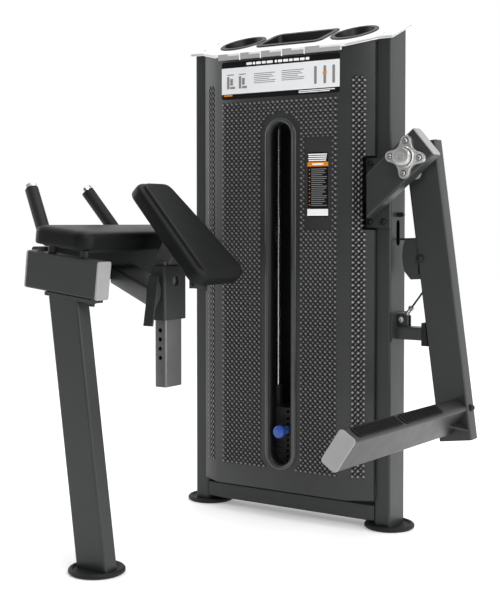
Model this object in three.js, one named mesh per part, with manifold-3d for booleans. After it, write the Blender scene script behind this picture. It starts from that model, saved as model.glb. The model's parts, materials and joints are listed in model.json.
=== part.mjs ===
// Standing glute kick-back machine: a selectorised weight-stack tower, a swinging foot-bar arm on its
// right post, and a kneeling-height user frame with elbow pad, chest pad and handles on its left post.
// Millimetres. X runs along the front of the tower, Y to its back, Z up, with the floor at Z = 0.
import * as THREE from 'three';
import { mergeVertices } from 'three/addons/utils/BufferGeometryUtils.js';
import Module from 'manifold-3d';

const wasm = await Module();
wasm.setup();

// Stock and clearances
const GAP = 0.3;
const WALL = 3;
const TUBE = { wide: 100, narrow: 50, radius: 7 };
const PLATE = 8;

// Tower: two posts under a cap that slopes down to the front
const POST_X = 326;
const POST_OUTER = POST_X + TUBE.narrow / 2;
const POST_INNER = POST_X - TUBE.narrow / 2;
const POST_BOTTOM = 9.3;
const CAP_SLOPE = 0.4;
const CAP_TOP = 1479.5;
const CAP_THICK = 9;
const CAP_TILT = Math.atan(CAP_SLOPE);
const CAP_UNDER = CAP_TOP - CAP_THICK / Math.cos(CAP_TILT);
const POST_TOP = CAP_UNDER - GAP;
const RAIL = { low: 22, high: 1232, height: 50 };

// Covers: a flat centre panel with two angled wings
const COVER = { bottom: 87, halfFlat: 229.5, halfWing: 304, front: 103, wing: 61, sheet: 3, lipReturn: 11 - GAP };
const SLOT = { x: 6, low: 164, high: 1216, width: 84, rim: 12, proud: 6 };

// Weight stack
const STACK = { width: 300, depth: 98, pitch: 16.8, liftedCount: 3, fixedCount: 10, topThick: 25.6 };
const STACK_BASE = 92;
const STACK_SPLIT = STACK_BASE + STACK.fixedCount * STACK.pitch;
const TOP_PLATE_Z = STACK_SPLIT + STACK.liftedCount * STACK.pitch;
const GUIDE_X = 66;
const GUIDE_RADIUS = 9;
const PIN_HOLE = 5;
const PIN_Z = STACK_SPLIT + STACK.pitch / 2;

// Lift cable and its pulleys
const CABLE_RADIUS = 3;
const CABLE_SIDES = 8;
const PULLEY = { wrap: 57.5, outer: 61, thick: 22, bore: 6.5 };
const TOP_PULLEY = new THREE.Vector3(PULLEY.wrap, 0, 1353);
const LOW_PULLEY = new THREE.Vector3(3 * PULLEY.wrap, 0, 913.5);
const ARM_PULLEY = new THREE.Vector3(434, 0, 806);
const CABLE_ANCHOR = new THREE.Vector3(370, 0, 626);
const POST_SLOT = { low: 842, high: 919, width: 22 };

// Swinging arm
const PIVOT = new THREE.Vector3(428, 0, 1096);
const ARM_TOP = new THREE.Vector3(429, 0, 1143);
const ARM_FOOT = new THREE.Vector3(546, 0, 285);
const ARM_LEAN = Math.atan2(ARM_FOOT.x - ARM_TOP.x, ARM_TOP.z - ARM_FOOT.z);
const SHAFT_RADIUS = 15;
const PIVOT_TUBE = { angle: THREE.MathUtils.degToRad(40.5), front: -108.3, left: 302, past: 65 };
const FOOT_BAR = {
  near: new THREE.Vector3(537, -TUBE.narrow / 2 - GAP, 354),
  far: new THREE.Vector3(541, -705, 369),
  roll: THREE.MathUtils.degToRad(33),
};
const TREAD = { width: 38, thick: 5.5, spans: [[26, 272], [284, 525]] };

// User frame on the left post
const BEAM = { x: -335, low: 746, end: -796.7 };
const CROSSBAR = { x: -209.5, y: -823, z: 774, length: 242, tilt: THREE.MathUtils.degToRad(6.4) };
const LEG = { footX: -111.4, lean: THREE.MathUtils.degToRad(7.5), flange: 160, flangeThick: 10 };
const SLEEVE = { x: -57, y: -584, low: 647, high: 793, wall: 4 };
const HEIGHT_TUBE = { width: 38, depth: 74, low: 464, high: 806 };
const BRACE = {
  start: new THREE.Vector3(BEAM.x + TUBE.narrow / 2, -469, 760),
  end: new THREE.Vector3(SLEEVE.x - TUBE.narrow / 2, -592, 712),
};
const USER_Y = -588;
const ELBOW_PAD = { x: -219, width: 196, length: 524, thick: 50, z: 872, radius: 38 };
const CHEST = {
  topHigh: new THREE.Vector3(-105.6, USER_Y, 1030.1),
  topLow: new THREE.Vector3(143, USER_Y, 779.6),
  thick: 50,
  highWidth: 140,
  lowWidth: 220,
};
const HANDLE = { x: -341, spread: 165, tipX: -453, tipSpread: 115, tipZ: 1014, tube: 12.5, grip: 19, cap: 12 };
const LEVER = { width: 31, top: 766, bottom: 630, pivotZ: 722, lean: THREE.MathUtils.degToRad(11) };
const LEVER_Y = SLEEVE.y - TUBE.wide / 2 - 10;

// Finishes
const finish = (color, roughness, metalness) => new THREE.MeshStandardMaterial({ color, roughness, metalness });
const GRAPHITE = finish(0x3c3e3d, 0.45, 0.4);
const COVER_GREY = finish(0x555756, 0.6, 0.2);
const CAP_SILVER = finish(0xe4e4e2, 0.4, 0.1);
const CAP_GREY = finish(0xa8a8a8, 0.4, 0.3);
const BLACK_PLASTIC = finish(0x1d1e1f, 0.5, 0);
const RUBBER = finish(0x161616, 0.8, 0);
const CHROME = finish(0xd8d8d8, 0.15, 1);
const SATIN_STEEL = finish(0xa9aaa9, 0.35, 0.9);
const CAST_SILVER = finish(0xc8c6c2, 0.45, 0.7);
const STACK_STEEL = finish(0x3a3a3a, 0.5, 0.5);
const PAD_VINYL = finish(0x202122, 0.55, 0);
const KNOB_BLUE = finish(0x2a4a9a, 0.4, 0);
const CABLE_BLACK = finish(0x1a1a1a, 0.5, 0.3);

const machine = new THREE.Group();

// ---------- shape helpers ----------

function toSolid(geometry) {
  const bare = geometry.clone();
  bare.deleteAttribute('normal');
  bare.deleteAttribute('uv');
  const merged = mergeVertices(bare, 1e-3);
  const vertProperties = new Float32Array(merged.attributes.position.array);
  const triVerts = new Uint32Array(merged.index.array);
  return new wasm.Manifold(new wasm.Mesh({ numProp: 3, vertProperties, triVerts }));
}

function toGeometry(solid) {
  const mesh = solid.getMesh();
  const geometry = new THREE.BufferGeometry();
  geometry.setAttribute('position', new THREE.BufferAttribute(new Float32Array(mesh.vertProperties), 3));
  geometry.setIndex(new THREE.BufferAttribute(new Uint32Array(mesh.triVerts), 1));
  geometry.computeVertexNormals();
  return geometry;
}

function cut(geometry, ...tools) {
  return toGeometry(tools.reduce((solid, tool) => solid.subtract(toSolid(tool)), toSolid(geometry)));
}

function join(geometry, ...others) {
  return toGeometry(others.reduce((solid, other) => solid.add(toSolid(other)), toSolid(geometry)));
}

function roundedRect(width, height, radius, ShapeClass = THREE.Shape) {
  const x = width / 2 - radius;
  const y = height / 2 - radius;
  const quarter = Math.PI / 2;
  const outline = new ShapeClass();
  outline.absarc(x, y, radius, 0, quarter);
  outline.absarc(-x, y, radius, quarter, 2 * quarter);
  outline.absarc(-x, -y, radius, 2 * quarter, 3 * quarter);
  outline.absarc(x, -y, radius, 3 * quarter, 4 * quarter);
  return outline;
}

function extrude(shape, depth, curveSegments = 2) {
  return new THREE.ExtrudeGeometry(shape, { depth, bevelEnabled: false, curveSegments });
}

// A shape drawn in X and Z, extruded towards +Y from the plane Y = start
function extrudeAlongY(shape, start, depth, curveSegments = 2) {
  return extrude(shape, depth, curveSegments).rotateX(Math.PI / 2).translate(0, start + depth, 0);
}

function polygon(points) {
  return new THREE.Shape(points.map(([x, y]) => new THREE.Vector2(x, y)));
}

function box(low, high) {
  const size = high.map((value, i) => value - low[i]);
  const middle = high.map((value, i) => (value + low[i]) / 2);
  return new THREE.BoxGeometry(...size).translate(...middle);
}

function tube(width, depth, length, radius = TUBE.radius, wall = WALL) {
  const shape = roundedRect(width, depth, radius);
  shape.holes.push(roundedRect(width - 2 * wall, depth - 2 * wall, radius - wall, THREE.Path));
  return extrude(shape, length);
}

// Turns a geometry built along +Z so that it runs from start to end, its own X towards side
function aim(geometry, start, end, side) {
  const along = end.clone().sub(start).normalize();
  const across = side.clone().addScaledVector(along, -side.dot(along)).normalize();
  const up = along.clone().cross(across);
  return geometry.applyMatrix4(new THREE.Matrix4().makeBasis(across, up, along).setPosition(start));
}

// A solid cylinder along Y
function rodAlongY(x, z, radius, low, high, segments = 20) {
  return new THREE.CylinderGeometry(radius, radius, high - low, segments).translate(x, (low + high) / 2, z);
}

// A solid cylinder along X
function rodAlongX(y, z, radius, low, high, segments = 20) {
  return new THREE.CylinderGeometry(radius, radius, high - low, segments)
    .rotateZ(Math.PI / 2)
    .translate((low + high) / 2, y, z);
}

// A solid cylinder along Z
function rodAlongZ(x, y, radius, low, high, segments = 20) {
  return new THREE.CylinderGeometry(radius, radius, high - low, segments)
    .rotateX(Math.PI / 2)
    .translate(x, y, (low + high) / 2);
}

// A profile of [radius, height] points turned about +Z
function turned(profile, segments = 32) {
  const points = profile.map(([r, h]) => new THREE.Vector2(r, h));
  return new THREE.LatheGeometry(points, segments).rotateX(Math.PI / 2);
}

// A stadium outline standing in X and Z
function stadium(x, low, high, width, ShapeClass = THREE.Shape) {
  const r = width / 2;
  const outline = new ShapeClass();
  outline.absarc(x, high - r, r, 0, Math.PI);
  outline.absarc(x, low + r, r, Math.PI, 2 * Math.PI);
  return outline;
}

function add(name, geometry, material, parent = machine) {
  const mesh = new THREE.Mesh(geometry, material);
  mesh.name = name;
  parent.add(mesh);
  return mesh;
}

// Everything above the sloping underside of the cap
function aboveCap(height) {
  const reach = 2000;
  const block = new THREE.BoxGeometry(reach, reach, reach).translate(0, 0, reach / 2);
  return block.rotateX(CAP_TILT).translate(0, 0, height);
}

// ---------- tower frame ----------

function postGeometry(x) {
  const post = tube(TUBE.narrow, TUBE.wide, 1500).translate(x, 0, POST_BOTTOM);
  return cut(post, aboveCap(POST_TOP));
}

function cableSlot() {
  const shape = stadium(0, POST_SLOT.low, POST_SLOT.high, POST_SLOT.width);
  return extrudeAlongY(shape, 0, 60, 4).rotateZ(-Math.PI / 2).translate(POST_INNER - 5, 0, 0);
}

function addPosts() {
  add('left_post', postGeometry(-POST_X), GRAPHITE);
  add('right_post', cut(postGeometry(POST_X), cableSlot()), GRAPHITE);
}

function railGeometry(low, depth) {
  const half = POST_INNER - GAP;
  return tube(RAIL.height, depth, 2 * half, 5).rotateY(Math.PI / 2).translate(-half, 0, low + RAIL.height / 2);
}

function addRails() {
  const rodHoles = [-GUIDE_X, GUIDE_X].map((x) => rodAlongZ(x, 0, GUIDE_RADIUS + GAP, 60, RAIL.high + 10));
  add('bottom_rail', railGeometry(RAIL.low, 98), GRAPHITE);
  const cableHoles = [0, 2 * PULLEY.wrap].map((x) => rodAlongZ(x, 0, 8, RAIL.high - 10, RAIL.high + 90, 12));
  add('top_rail', cut(railGeometry(RAIL.high, 60), ...rodHoles, ...cableHoles), GRAPHITE);
}

function addFeet() {
  const profile = [[0, 0], [70, 0], [75, 4], [75, 10], [71, 14], [65, 14], [61, 9], [0, 9]];
  const places = { foot_left: [-POST_X, 0], foot_right: [POST_X, 0], foot_front: [LEG.footX, CROSSBAR.y] };
  for (const [name, [x, y]] of Object.entries(places)) {
    add(name, turned(profile), RUBBER).position.set(x, y, 0);
  }
}

// ---------- covers and cap ----------

// Plan outline of a folded cover sheet, open to the back
function coverOutline() {
  const { halfFlat, halfWing, front, wing, sheet, lipReturn } = COVER;
  const outer = [[halfWing, -wing], [halfFlat, -front], [-halfFlat, -front], [-halfWing, -wing]];
  const returns = [[-halfWing, lipReturn - wing], [sheet - halfWing, lipReturn - wing]];
  const inner = [
    [sheet - halfWing, sheet - wing],
    [sheet / 2 - halfFlat, sheet - front],
    [halfFlat - sheet / 2, sheet - front],
    [halfWing - sheet, sheet - wing],
  ];
  const back = [[halfWing - sheet, lipReturn - wing], [halfWing, lipReturn - wing]];
  return polygon([...outer, ...returns, ...inner, ...back].reverse());
}

function coverSheet() {
  const sheet = extrude(coverOutline(), 1500).translate(0, 0, COVER.bottom);
  return cut(sheet, aboveCap(POST_TOP));
}

function slotRim() {
  const { x, low, high, width, rim, proud } = SLOT;
  const ring = stadium(x, low - rim, high + rim, width + 2 * rim);
  ring.holes.push(stadium(x, low, high, width, THREE.Path));
  return extrudeAlongY(ring, -COVER.front - proud, proud + 1, 8);
}

// Room in the front wings for the two bolted mounting plates
function plateNotch(x, low, high) {
  return box([x - 42, -200, low - 4], [x + 42, 0, high + 4]);
}

function addCovers() {
  const opening = extrudeAlongY(stadium(SLOT.x, SLOT.low, SLOT.high, SLOT.width), -150, 80, 8);
  const notches = [plateNotch(313, 893, 1102), plateNotch(-336, 694, 898)];
  add('front_cover', cut(join(coverSheet(), slotRim()), opening, ...notches), COVER_GREY);
  const back = cut(extrude(coverOutline(), 1500).rotateZ(Math.PI).translate(0, 0, COVER.bottom), aboveCap(POST_TOP));
  add('back_cover', back, COVER_GREY);
}

const CUP = { x: 201, y: 5, outer: 74, inner: 60, depth: 42 };
const TRAY = { width: 236, depth: 148, y: 8, radius: 26, inset: 12, sink: 26 };

// Plan of the cap: long lips front and back, cut corners, and short lips over the posts
function capOutline() {
  const corners = [[360, -60], [316, -60], [232, -112], [-232, -112], [-316, -60], [-360, -60]];
  const behind = corners.map(([x, y]) => [-x, -y]);
  return polygon([...corners, ...behind].reverse());
}

// Shears an upright solid so that its level faces follow the slope of the cap
function shearToCap(geometry, height) {
  const shear = new THREE.Matrix4().set(1, 0, 0, 0, 0, 1, 0, 0, 0, CAP_SLOPE, 1, height, 0, 0, 0, 1);
  return geometry.applyMatrix4(shear);
}

function addCap() {
  const thick = CAP_TOP - CAP_UNDER;
  const slab = extrude(capOutline(), thick);
  const lips = [-1, 1].map((side) => {
    const near = side * 112;
    const far = side * 106;
    return box([-217, Math.min(near, far), -10], [217, Math.max(near, far), 1]);
  });
  const holes = [-CUP.x, CUP.x].map((x) => rodAlongZ(x, CUP.y, CUP.inner + 3 + GAP, -5, thick + 5, 40));
  const trayHole = roundedRect(TRAY.width - 2 * TRAY.inset, TRAY.depth - 2 * TRAY.inset, TRAY.radius - 6);
  const well = extrude(trayHole, thick + 20, 3).translate(0, TRAY.y, -10);
  add('top_cap', shearToCap(cut(join(slab, ...lips), ...holes, well), CAP_UNDER), CAP_SILVER);
}

function addCups() {
  const wall = 3;
  const rim = 4;
  const { inner, outer, depth } = CUP;
  const profile = [
    [0, wall - depth], [inner - 4, wall - depth], [inner, 8 - depth], [inner, rim], [outer - 2, rim],
    [outer, rim - 2], [outer, GAP], [inner + wall, GAP], [inner + wall, 4 - depth], [inner - 1, -depth], [0, -depth],
  ].reverse();
  for (const [name, side] of [['cup_holder_left', -1], ['cup_holder_right', 1]]) {
    const cup = turned(profile, 40).translate(side * CUP.x, CUP.y, 0);
    add(name, shearToCap(cup, CAP_TOP), BLACK_PLASTIC);
  }
}

function addTray() {
  const { width, depth, y, radius, inset, sink } = TRAY;
  const floor = 3;
  const rim = extrude(roundedRect(width, depth, radius), 4, 3).translate(0, y, GAP);
  const bowl = extrude(roundedRect(width - 2 * inset - 1, depth - 2 * inset - 1, radius - 7), sink + 2, 3);
  const well = extrude(roundedRect(width - 2 * inset - 7, depth - 2 * inset - 7, radius - 10), sink + 20, 3);
  const body = join(rim, bowl.translate(0, y, -sink));
  add('top_tray', shearToCap(cut(body, well.translate(0, y, floor - sink)), CAP_TOP), BLACK_PLASTIC);
}

// ---------- weight stack ----------

function pinHole(z) {
  return rodAlongY(0, z, PIN_HOLE, -STACK.depth / 2 - 5, 20, 12);
}

function stackBores(low, high, guideRadius, rodRadius) {
  const guides = [-GUIDE_X, GUIDE_X].map((x) => rodAlongZ(x, 0, guideRadius, low, high, 16));
  return [...guides, rodAlongZ(0, 0, rodRadius, low, high, 16)];
}

function plateGeometry(low, thick) {
  const half = STACK.depth / 2;
  return box([-STACK.width / 2, -half, low], [STACK.width / 2, half, low + thick]);
}

function addStack() {
  const bores = stackBores(50, 450, GUIDE_RADIUS + 1, 12);
  const cushion = box([-110, -40, RAIL.low + RAIL.height + GAP], [110, 40, STACK_BASE - GAP]);
  add('stack_cushion', cut(cushion, ...bores), RUBBER);

  const fixedHeight = STACK.fixedCount * STACK.pitch - GAP;
  const seams = [];
  const holes = [];
  for (let i = 0; i < STACK.fixedCount; i += 1) {
    const z = STACK_BASE + i * STACK.pitch;
    const half = STACK.width / 2;
    const seam = box([-half - 5, -60, z - 0.7], [half + 5, 60, z + 0.7]);
    const keep = box([4 - half, 4 - STACK.depth / 2, z - 1], [half - 4, STACK.depth / 2 - 4, z + 1]);
    if (i > 0) seams.push(cut(seam, keep));
    holes.push(pinHole(z + STACK.pitch / 2));
  }
  const fixed = plateGeometry(STACK_BASE, fixedHeight);
  add('lower_weight_plates', cut(fixed, ...bores, ...seams, ...holes), STACK_STEEL);

  for (let i = 0; i < STACK.liftedCount; i += 1) {
    const low = STACK_SPLIT + i * STACK.pitch;
    const plate = plateGeometry(low, STACK.pitch - GAP);
    add(`lifted_plate_${i + 1}`, cut(plate, ...bores, pinHole(low + STACK.pitch / 2)), STACK_STEEL);
  }
}

// Plain guide sleeves stand on the top plate around the rods
function addTopPlate() {
  const top = TOP_PLATE_Z + STACK.topThick;
  const sleeves = [-GUIDE_X, GUIDE_X].map((x) => turned([
    [0, -5], [17, -5], [14, 50], [16, 50], [16, 62], [0, 62],
  ], 20).translate(x, 0, top));
  const bores = stackBores(50, 450, GUIDE_RADIUS + 1, 8);
  const block = join(plateGeometry(TOP_PLATE_Z, STACK.topThick), ...sleeves);
  add('top_plate', cut(block, ...bores, pinHole(TOP_PLATE_Z + STACK.topThick / 2)), STACK_STEEL);
}

function addSelector() {
  const rodLow = STACK_BASE + 6;
  const top = TOP_PLATE_Z + STACK.topThick;
  const rod = turned([
    [0, rodLow], [8 - GAP, rodLow], [8 - GAP, top + GAP], [13, top + GAP], [13, top + 14],
    [7, top + 18], [7, top + 34], [0, top + 34],
  ], 20);
  const holes = [];
  for (let z = PIN_Z; z > rodLow + 10; z -= STACK.pitch) {
    holes.push(rodAlongY(0, z, PIN_HOLE, -20, 20, 12));
  }
  add('selector_rod', cut(rod, ...holes), CHROME);

  const pin = new THREE.LatheGeometry([
    [0, -5], [4.4, -5], [4.4, 52], [11, 52], [12, 55], [9, 60], [5, 61], [5, 82],
    [14, 84], [17.5, 90], [17.5, 102], [14, 108], [0, 110],
  ].map(([r, h]) => new THREE.Vector2(r, h)), 24).rotateX(Math.PI);
  add('selector_pin', pin.translate(0, 0, PIN_Z), KNOB_BLUE);
}

function addGuideRods() {
  for (const [name, side] of [['guide_rod_left', -1], ['guide_rod_right', 1]]) {
    const low = RAIL.low + RAIL.height + GAP;
    add(name, rodAlongZ(side * GUIDE_X, 0, GUIDE_RADIUS, low, RAIL.high + RAIL.height - 10, 16), CHROME);
  }
}

// ---------- pulleys and cable ----------

function pulleyGeometry(centre) {
  const { wrap, outer, thick, bore } = PULLEY;
  const half = thick / 2;
  const groove = CABLE_RADIUS + 1;
  const profile = [
    [bore, -half], [16, -half], [18, -5], [44, -5], [46, -half + 2], [outer, -half + 3], [wrap - groove, -2],
    [wrap - groove, 2], [outer, half - 3], [46, half - 2], [44, 5], [18, 5], [16, half], [bore, half], [bore, -half],
  ];
  return turned(profile, 32).rotateX(Math.PI / 2).translate(centre.x, centre.y, centre.z);
}

function axle(centre, halfLength) {
  return rodAlongY(centre.x, centre.z, PULLEY.bore - GAP, -halfLength, halfLength, 16);
}

// A fork of two cheeks and an axle, drawn in X and Z
function forkGeometry(centre, outline) {
  const inner = PULLEY.thick / 2 + 3;
  const cheeks = [-inner - 5, inner].map((start) => extrudeAlongY(outline, start, 5));
  return join(cheeks[0], cheeks[1], axle(centre, inner + 8));
}

function addPulleys() {
  const { x, z } = TOP_PULLEY;
  const seat = RAIL.high + RAIL.height + GAP;
  const stand = polygon([[x - 40, seat], [x + 40, seat], [x + 22, z + 18], [x - 22, z + 18]]);
  const saddle = box([x - 40, -19, seat], [x + 40, 19, seat + 6]);
  add('top_pulley_bracket', join(forkGeometry(TOP_PULLEY, stand), saddle), GRAPHITE);
  add('top_pulley', pulleyGeometry(TOP_PULLEY), BLACK_PLASTIC);

  const low = LOW_PULLEY;
  const wallX = POST_INNER - GAP;
  const bracket = polygon([[low.x - 20, low.z - 16], [low.x, low.z - 20], [wallX, low.z + 12], [wallX, low.z + 75],
    [wallX - 10, low.z + 75], [low.x - 20, low.z + 20]]);
  const back = box([wallX - 6, -19, low.z + 12], [wallX, 19, low.z + 75]);
  add('low_pulley_bracket', join(forkGeometry(low, bracket), back), GRAPHITE);
  add('low_pulley', pulleyGeometry(low), BLACK_PLASTIC);
  add('arm_pulley', pulleyGeometry(ARM_PULLEY), BLACK_PLASTIC);
}

// A round cable through points that all lie in the plane Y = 0
function cableGeometry(points) {
  const positions = [];
  const index = [];
  const last = points.length - 1;
  points.forEach((point, i) => {
    const run = points[Math.min(i + 1, last)].clone().sub(points[Math.max(i - 1, 0)]).normalize();
    for (let k = 0; k < CABLE_SIDES; k += 1) {
      const angle = (k * 2 * Math.PI) / CABLE_SIDES;
      const out = CABLE_RADIUS * Math.cos(angle);
      positions.push(point.x - run.z * out, CABLE_RADIUS * Math.sin(angle), point.z + run.x * out);
    }
  });
  for (let i = 0; i < last; i += 1) {
    for (let k = 0; k < CABLE_SIDES; k += 1) {
      const a = i * CABLE_SIDES + k;
      const b = i * CABLE_SIDES + ((k + 1) % CABLE_SIDES);
      index.push(a, a + CABLE_SIDES, b, b, a + CABLE_SIDES, b + CABLE_SIDES);
    }
  }
  for (let k = 2; k < CABLE_SIDES; k += 1) {
    const end = last * CABLE_SIDES;
    index.push(0, k - 1, k, end, end + k, end + k - 1);
  }
  const geometry = new THREE.BufferGeometry();
  geometry.setAttribute('position', new THREE.Float32BufferAttribute(positions, 3));
  geometry.setIndex(index);
  geometry.computeVertexNormals();
  return geometry;
}

function arcPoints(centre, from, to, count) {
  const points = [];
  for (let i = 0; i <= count; i += 1) {
    const angle = from + ((to - from) * i) / count;
    const x = centre.x + PULLEY.wrap * Math.cos(angle);
    points.push(new THREE.Vector3(x, 0, centre.z + PULLEY.wrap * Math.sin(angle)));
  }
  return points;
}

// Angle of the cable that leaves under the low pulley and over the arm pulley
function upperRunAngle() {
  const dx = ARM_PULLEY.x - LOW_PULLEY.x;
  const dz = ARM_PULLEY.z - LOW_PULLEY.z;
  return Math.atan2(dz, dx) + Math.asin((2 * PULLEY.wrap) / Math.hypot(dx, dz));
}

// Angle of the cable from its anchor to the far side of the arm pulley
function lowerRunAngle() {
  const dx = ARM_PULLEY.x - CABLE_ANCHOR.x;
  const dz = ARM_PULLEY.z - CABLE_ANCHOR.z;
  return Math.atan2(dz, dx) - Math.asin(PULLEY.wrap / Math.hypot(dx, dz));
}

function addCable() {
  const quarter = Math.PI / 2;
  const upper = upperRunAngle();
  const lower = lowerRunAngle();
  const split = THREE.MathUtils.degToRad(30);
  const slack = 0.02;
  const hitch = TOP_PLATE_Z + STACK.topThick + 34 + GAP;

  const stackTop = new THREE.Vector3(0, 0, TOP_PULLEY.z - GAP);
  add('cable_stack_run', cableGeometry([new THREE.Vector3(0, 0, hitch), stackTop]), CABLE_BLACK);

  const over = arcPoints(TOP_PULLEY, 2 * quarter, 0, 14);
  const under = arcPoints(LOW_PULLEY, 2 * quarter, 3 * quarter + upper - slack, 8);
  add('cable_tower_run', cableGeometry([...over, ...under]), CABLE_BLACK);

  const leave = arcPoints(LOW_PULLEY, 3 * quarter + upper, 3 * quarter + upper, 1)[0];
  const arrive = arcPoints(ARM_PULLEY, quarter + upper, split + slack, 5);
  add('cable_upper_run', cableGeometry([leave, ...arrive]), CABLE_BLACK);

  const around = arcPoints(ARM_PULLEY, split, lower - quarter, 5);
  const along = new THREE.Vector3(Math.cos(lower), 0, Math.sin(lower));
  const ferrule = CABLE_ANCHOR.clone().addScaledVector(along, 46 + GAP);
  add('cable_lower_run', cableGeometry([...around, ferrule]), CABLE_BLACK);

  const start = CABLE_ANCHOR.clone().addScaledVector(along, 8);
  const end = CABLE_ANCHOR.clone().addScaledVector(along, 46);
  const swage = aim(new THREE.CylinderGeometry(5, 5.5, 38, 12).rotateX(quarter).translate(0, 0, 19), start, end,
    new THREE.Vector3(0, 1, 0));
  const eye = rodAlongY(CABLE_ANCHOR.x, CABLE_ANCHOR.z, 11, -4, 4);
  const hole = rodAlongY(CABLE_ANCHOR.x, CABLE_ANCHOR.z, 5 + GAP, -6, 6);
  add('cable_end_fitting', cut(join(eye, swage), hole), SATIN_STEEL);
}

// ---------- pivot ----------

function addPivotBracket() {
  const { angle, front, left, past } = PIVOT_TUBE;
  const along = new THREE.Vector3(Math.cos(angle), 0, Math.sin(angle));
  const start = PIVOT.clone().addScaledVector(along, -300).setY(front + TUBE.narrow / 2);
  const end = PIVOT.clone().addScaledVector(along, past).setY(front + TUBE.narrow / 2);
  const bar = aim(tube(TUBE.narrow, TUBE.wide, start.distanceTo(end)), start, end, new THREE.Vector3(0, 1, 0));
  const plate = box([274, -50 - GAP - PLATE, 895], [POST_OUTER, -50 - GAP, 1100]);
  const trimmed = cut(bar, box([0, -300, 0], [left, 300, 1500]));
  const bore = rodAlongY(PIVOT.x, PIVOT.z, 22, -200, 0, 24);
  add('pivot_bracket', join(cut(trimmed, bore), plate), GRAPHITE);
}

// Four-lobed cast flange around a raised hub
function flangeGeometry(back, facing) {
  const shape = new THREE.Shape();
  const lobes = 4;
  const boltCircle = 46;
  const turn = THREE.MathUtils.degToRad(-4);
  for (let i = 0; i < lobes; i += 1) {
    const angle = turn + (i * 2 * Math.PI) / lobes;
    const x = boltCircle * Math.cos(angle);
    const y = boltCircle * Math.sin(angle);
    shape.absarc(x, y, 15.5, angle - 1.45, angle + 1.45);
    const valley = angle + Math.PI / lobes;
    shape.lineTo(34 * Math.cos(valley), 34 * Math.sin(valley));
  }
  const plate = extrude(shape, 13, 4);
  const hub = turned([[0, 5], [33, 5], [32, 20], [0, 20]], 32);
  const bore = turned([[0, -5], [SHAFT_RADIUS + GAP, -5], [SHAFT_RADIUS + GAP, 30], [0, 30]], 24);
  const body = cut(join(plate, hub), bore).rotateX(facing * (Math.PI / 2));
  return body.translate(PIVOT.x, back, PIVOT.z);
}

function addBearings() {
  const back = PIVOT_TUBE.front + TUBE.narrow;
  add('bearing_front', flangeGeometry(PIVOT_TUBE.front - GAP, 1), CAST_SILVER);
  add('bearing_rear', flangeGeometry(back + GAP, -1), CAST_SILVER);
}

function addShaft() {
  const profile = [
    [0, -34], [SHAFT_RADIUS - 1, -34], [SHAFT_RADIUS, -33], [SHAFT_RADIUS, 129], [26, 129], [27.5, 132], [27.5, 146],
    [25, 149], [16, 149], [14, 147], [0, 147],
  ];
  const shaft = turned(profile, 32).rotateX(Math.PI / 2).translate(PIVOT.x, 0, PIVOT.z);
  add('pivot_shaft', shaft, CAST_SILVER);
}

// ---------- swinging arm ----------

// Side plates that guard the pulley where it stands out of the arm
function guardOutline() {
  const shape = polygon([[432, 746], [401, 744], [381, 767]]);
  shape.quadraticCurveTo(366, 812, 381, 860);
  shape.lineTo(430, 864);
  return shape;
}

function addArm() {
  const length = ARM_TOP.distanceTo(ARM_FOOT);
  const sideways = new THREE.Vector3(1, 0, 0);
  const beam = aim(tube(TUBE.wide, TUBE.narrow, length), ARM_FOOT, ARM_TOP, sideways);
  const hub = rodAlongY(PIVOT.x, PIVOT.z, 30, -25, 25, 24);
  const guards = [-19, 15].map((start) => extrudeAlongY(guardOutline(), start, 4, 5));
  const mouth = box([300, -15, 690], [450, 15, 890]);
  const boltHeads = [-31, 24].map((low) => rodAlongY(ARM_PULLEY.x, ARM_PULLEY.z, 10, low, low + 7, 6));
  const bolt = join(axle(ARM_PULLEY, 26), ...boltHeads);
  const inside = box([425, -22, 760], [520, 22, 850]);
  const shaftBore = rodAlongY(PIVOT.x, PIVOT.z, SHAFT_RADIUS + GAP, -60, 60, 32);
  const trimmedGuards = guards.map((guard) => cut(guard, inside));
  const shell = cut(beam, mouth);
  add('swing_arm', cut(join(shell, hub, ...trimmedGuards, bolt), shaftBore), GRAPHITE);
}

function addFootBar() {
  const { near, far, roll } = FOOT_BAR;
  const narrowSide = new THREE.Vector3(Math.cos(roll), 0, -Math.sin(roll));
  const length = near.distanceTo(far);
  const place = (geometry) => aim(geometry, near, far, narrowSide);
  const faceEdge = box([300, -TUBE.narrow / 2 - GAP, 0], [800, 100, 800]);
  const bar = place(tube(TUBE.narrow, TUBE.wide, length + 12, 9).translate(0, 0, -12));
  add('foot_bar', cut(join(bar, footGusset()), faceEdge), GRAPHITE);

  const capShape = roundedRect(TUBE.narrow, TUBE.wide, 9);
  const plug = roundedRect(TUBE.narrow - 2 * WALL - 1, TUBE.wide - 2 * WALL - 1, 6);
  const cap = join(extrude(capShape, 4, 3), extrude(plug, 12, 2).translate(0, 0, -12));
  add('foot_bar_cap', place(cap.translate(0, 0, length + GAP)), CAP_GREY);

  TREAD.spans.forEach(([low, high], i) => {
    const pad = extrude(roundedRect(high - low, TREAD.width, 15), TREAD.thick, 4);
    const lengthways = new THREE.Matrix4().makeBasis(
      new THREE.Vector3(0, 0, 1),
      new THREE.Vector3(1, 0, 0),
      new THREE.Vector3(0, 1, 0),
    );
    pad.applyMatrix4(lengthways).translate(0, TUBE.wide / 2 + GAP, length - (low + high) / 2);
    add(`foot_tread_${i + 1}`, place(pad), RUBBER);
  });
}

// Triangular web between the underside of the foot bar and the arm
function footGusset() {
  const { near, roll } = FOOT_BAR;
  const out = new THREE.Vector3(Math.cos(roll), 0, -Math.sin(roll));
  const web = extrude(polygon([[20, 0], [62, 0], [24, 70], [20, 70]]), 6);
  const basis = new THREE.Matrix4().makeBasis(out, new THREE.Vector3(0, -1, 0),
    out.clone().cross(new THREE.Vector3(0, -1, 0)));
  return web.applyMatrix4(basis.setPosition(near.x, -TUBE.narrow / 2 - GAP, near.z));
}

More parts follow.
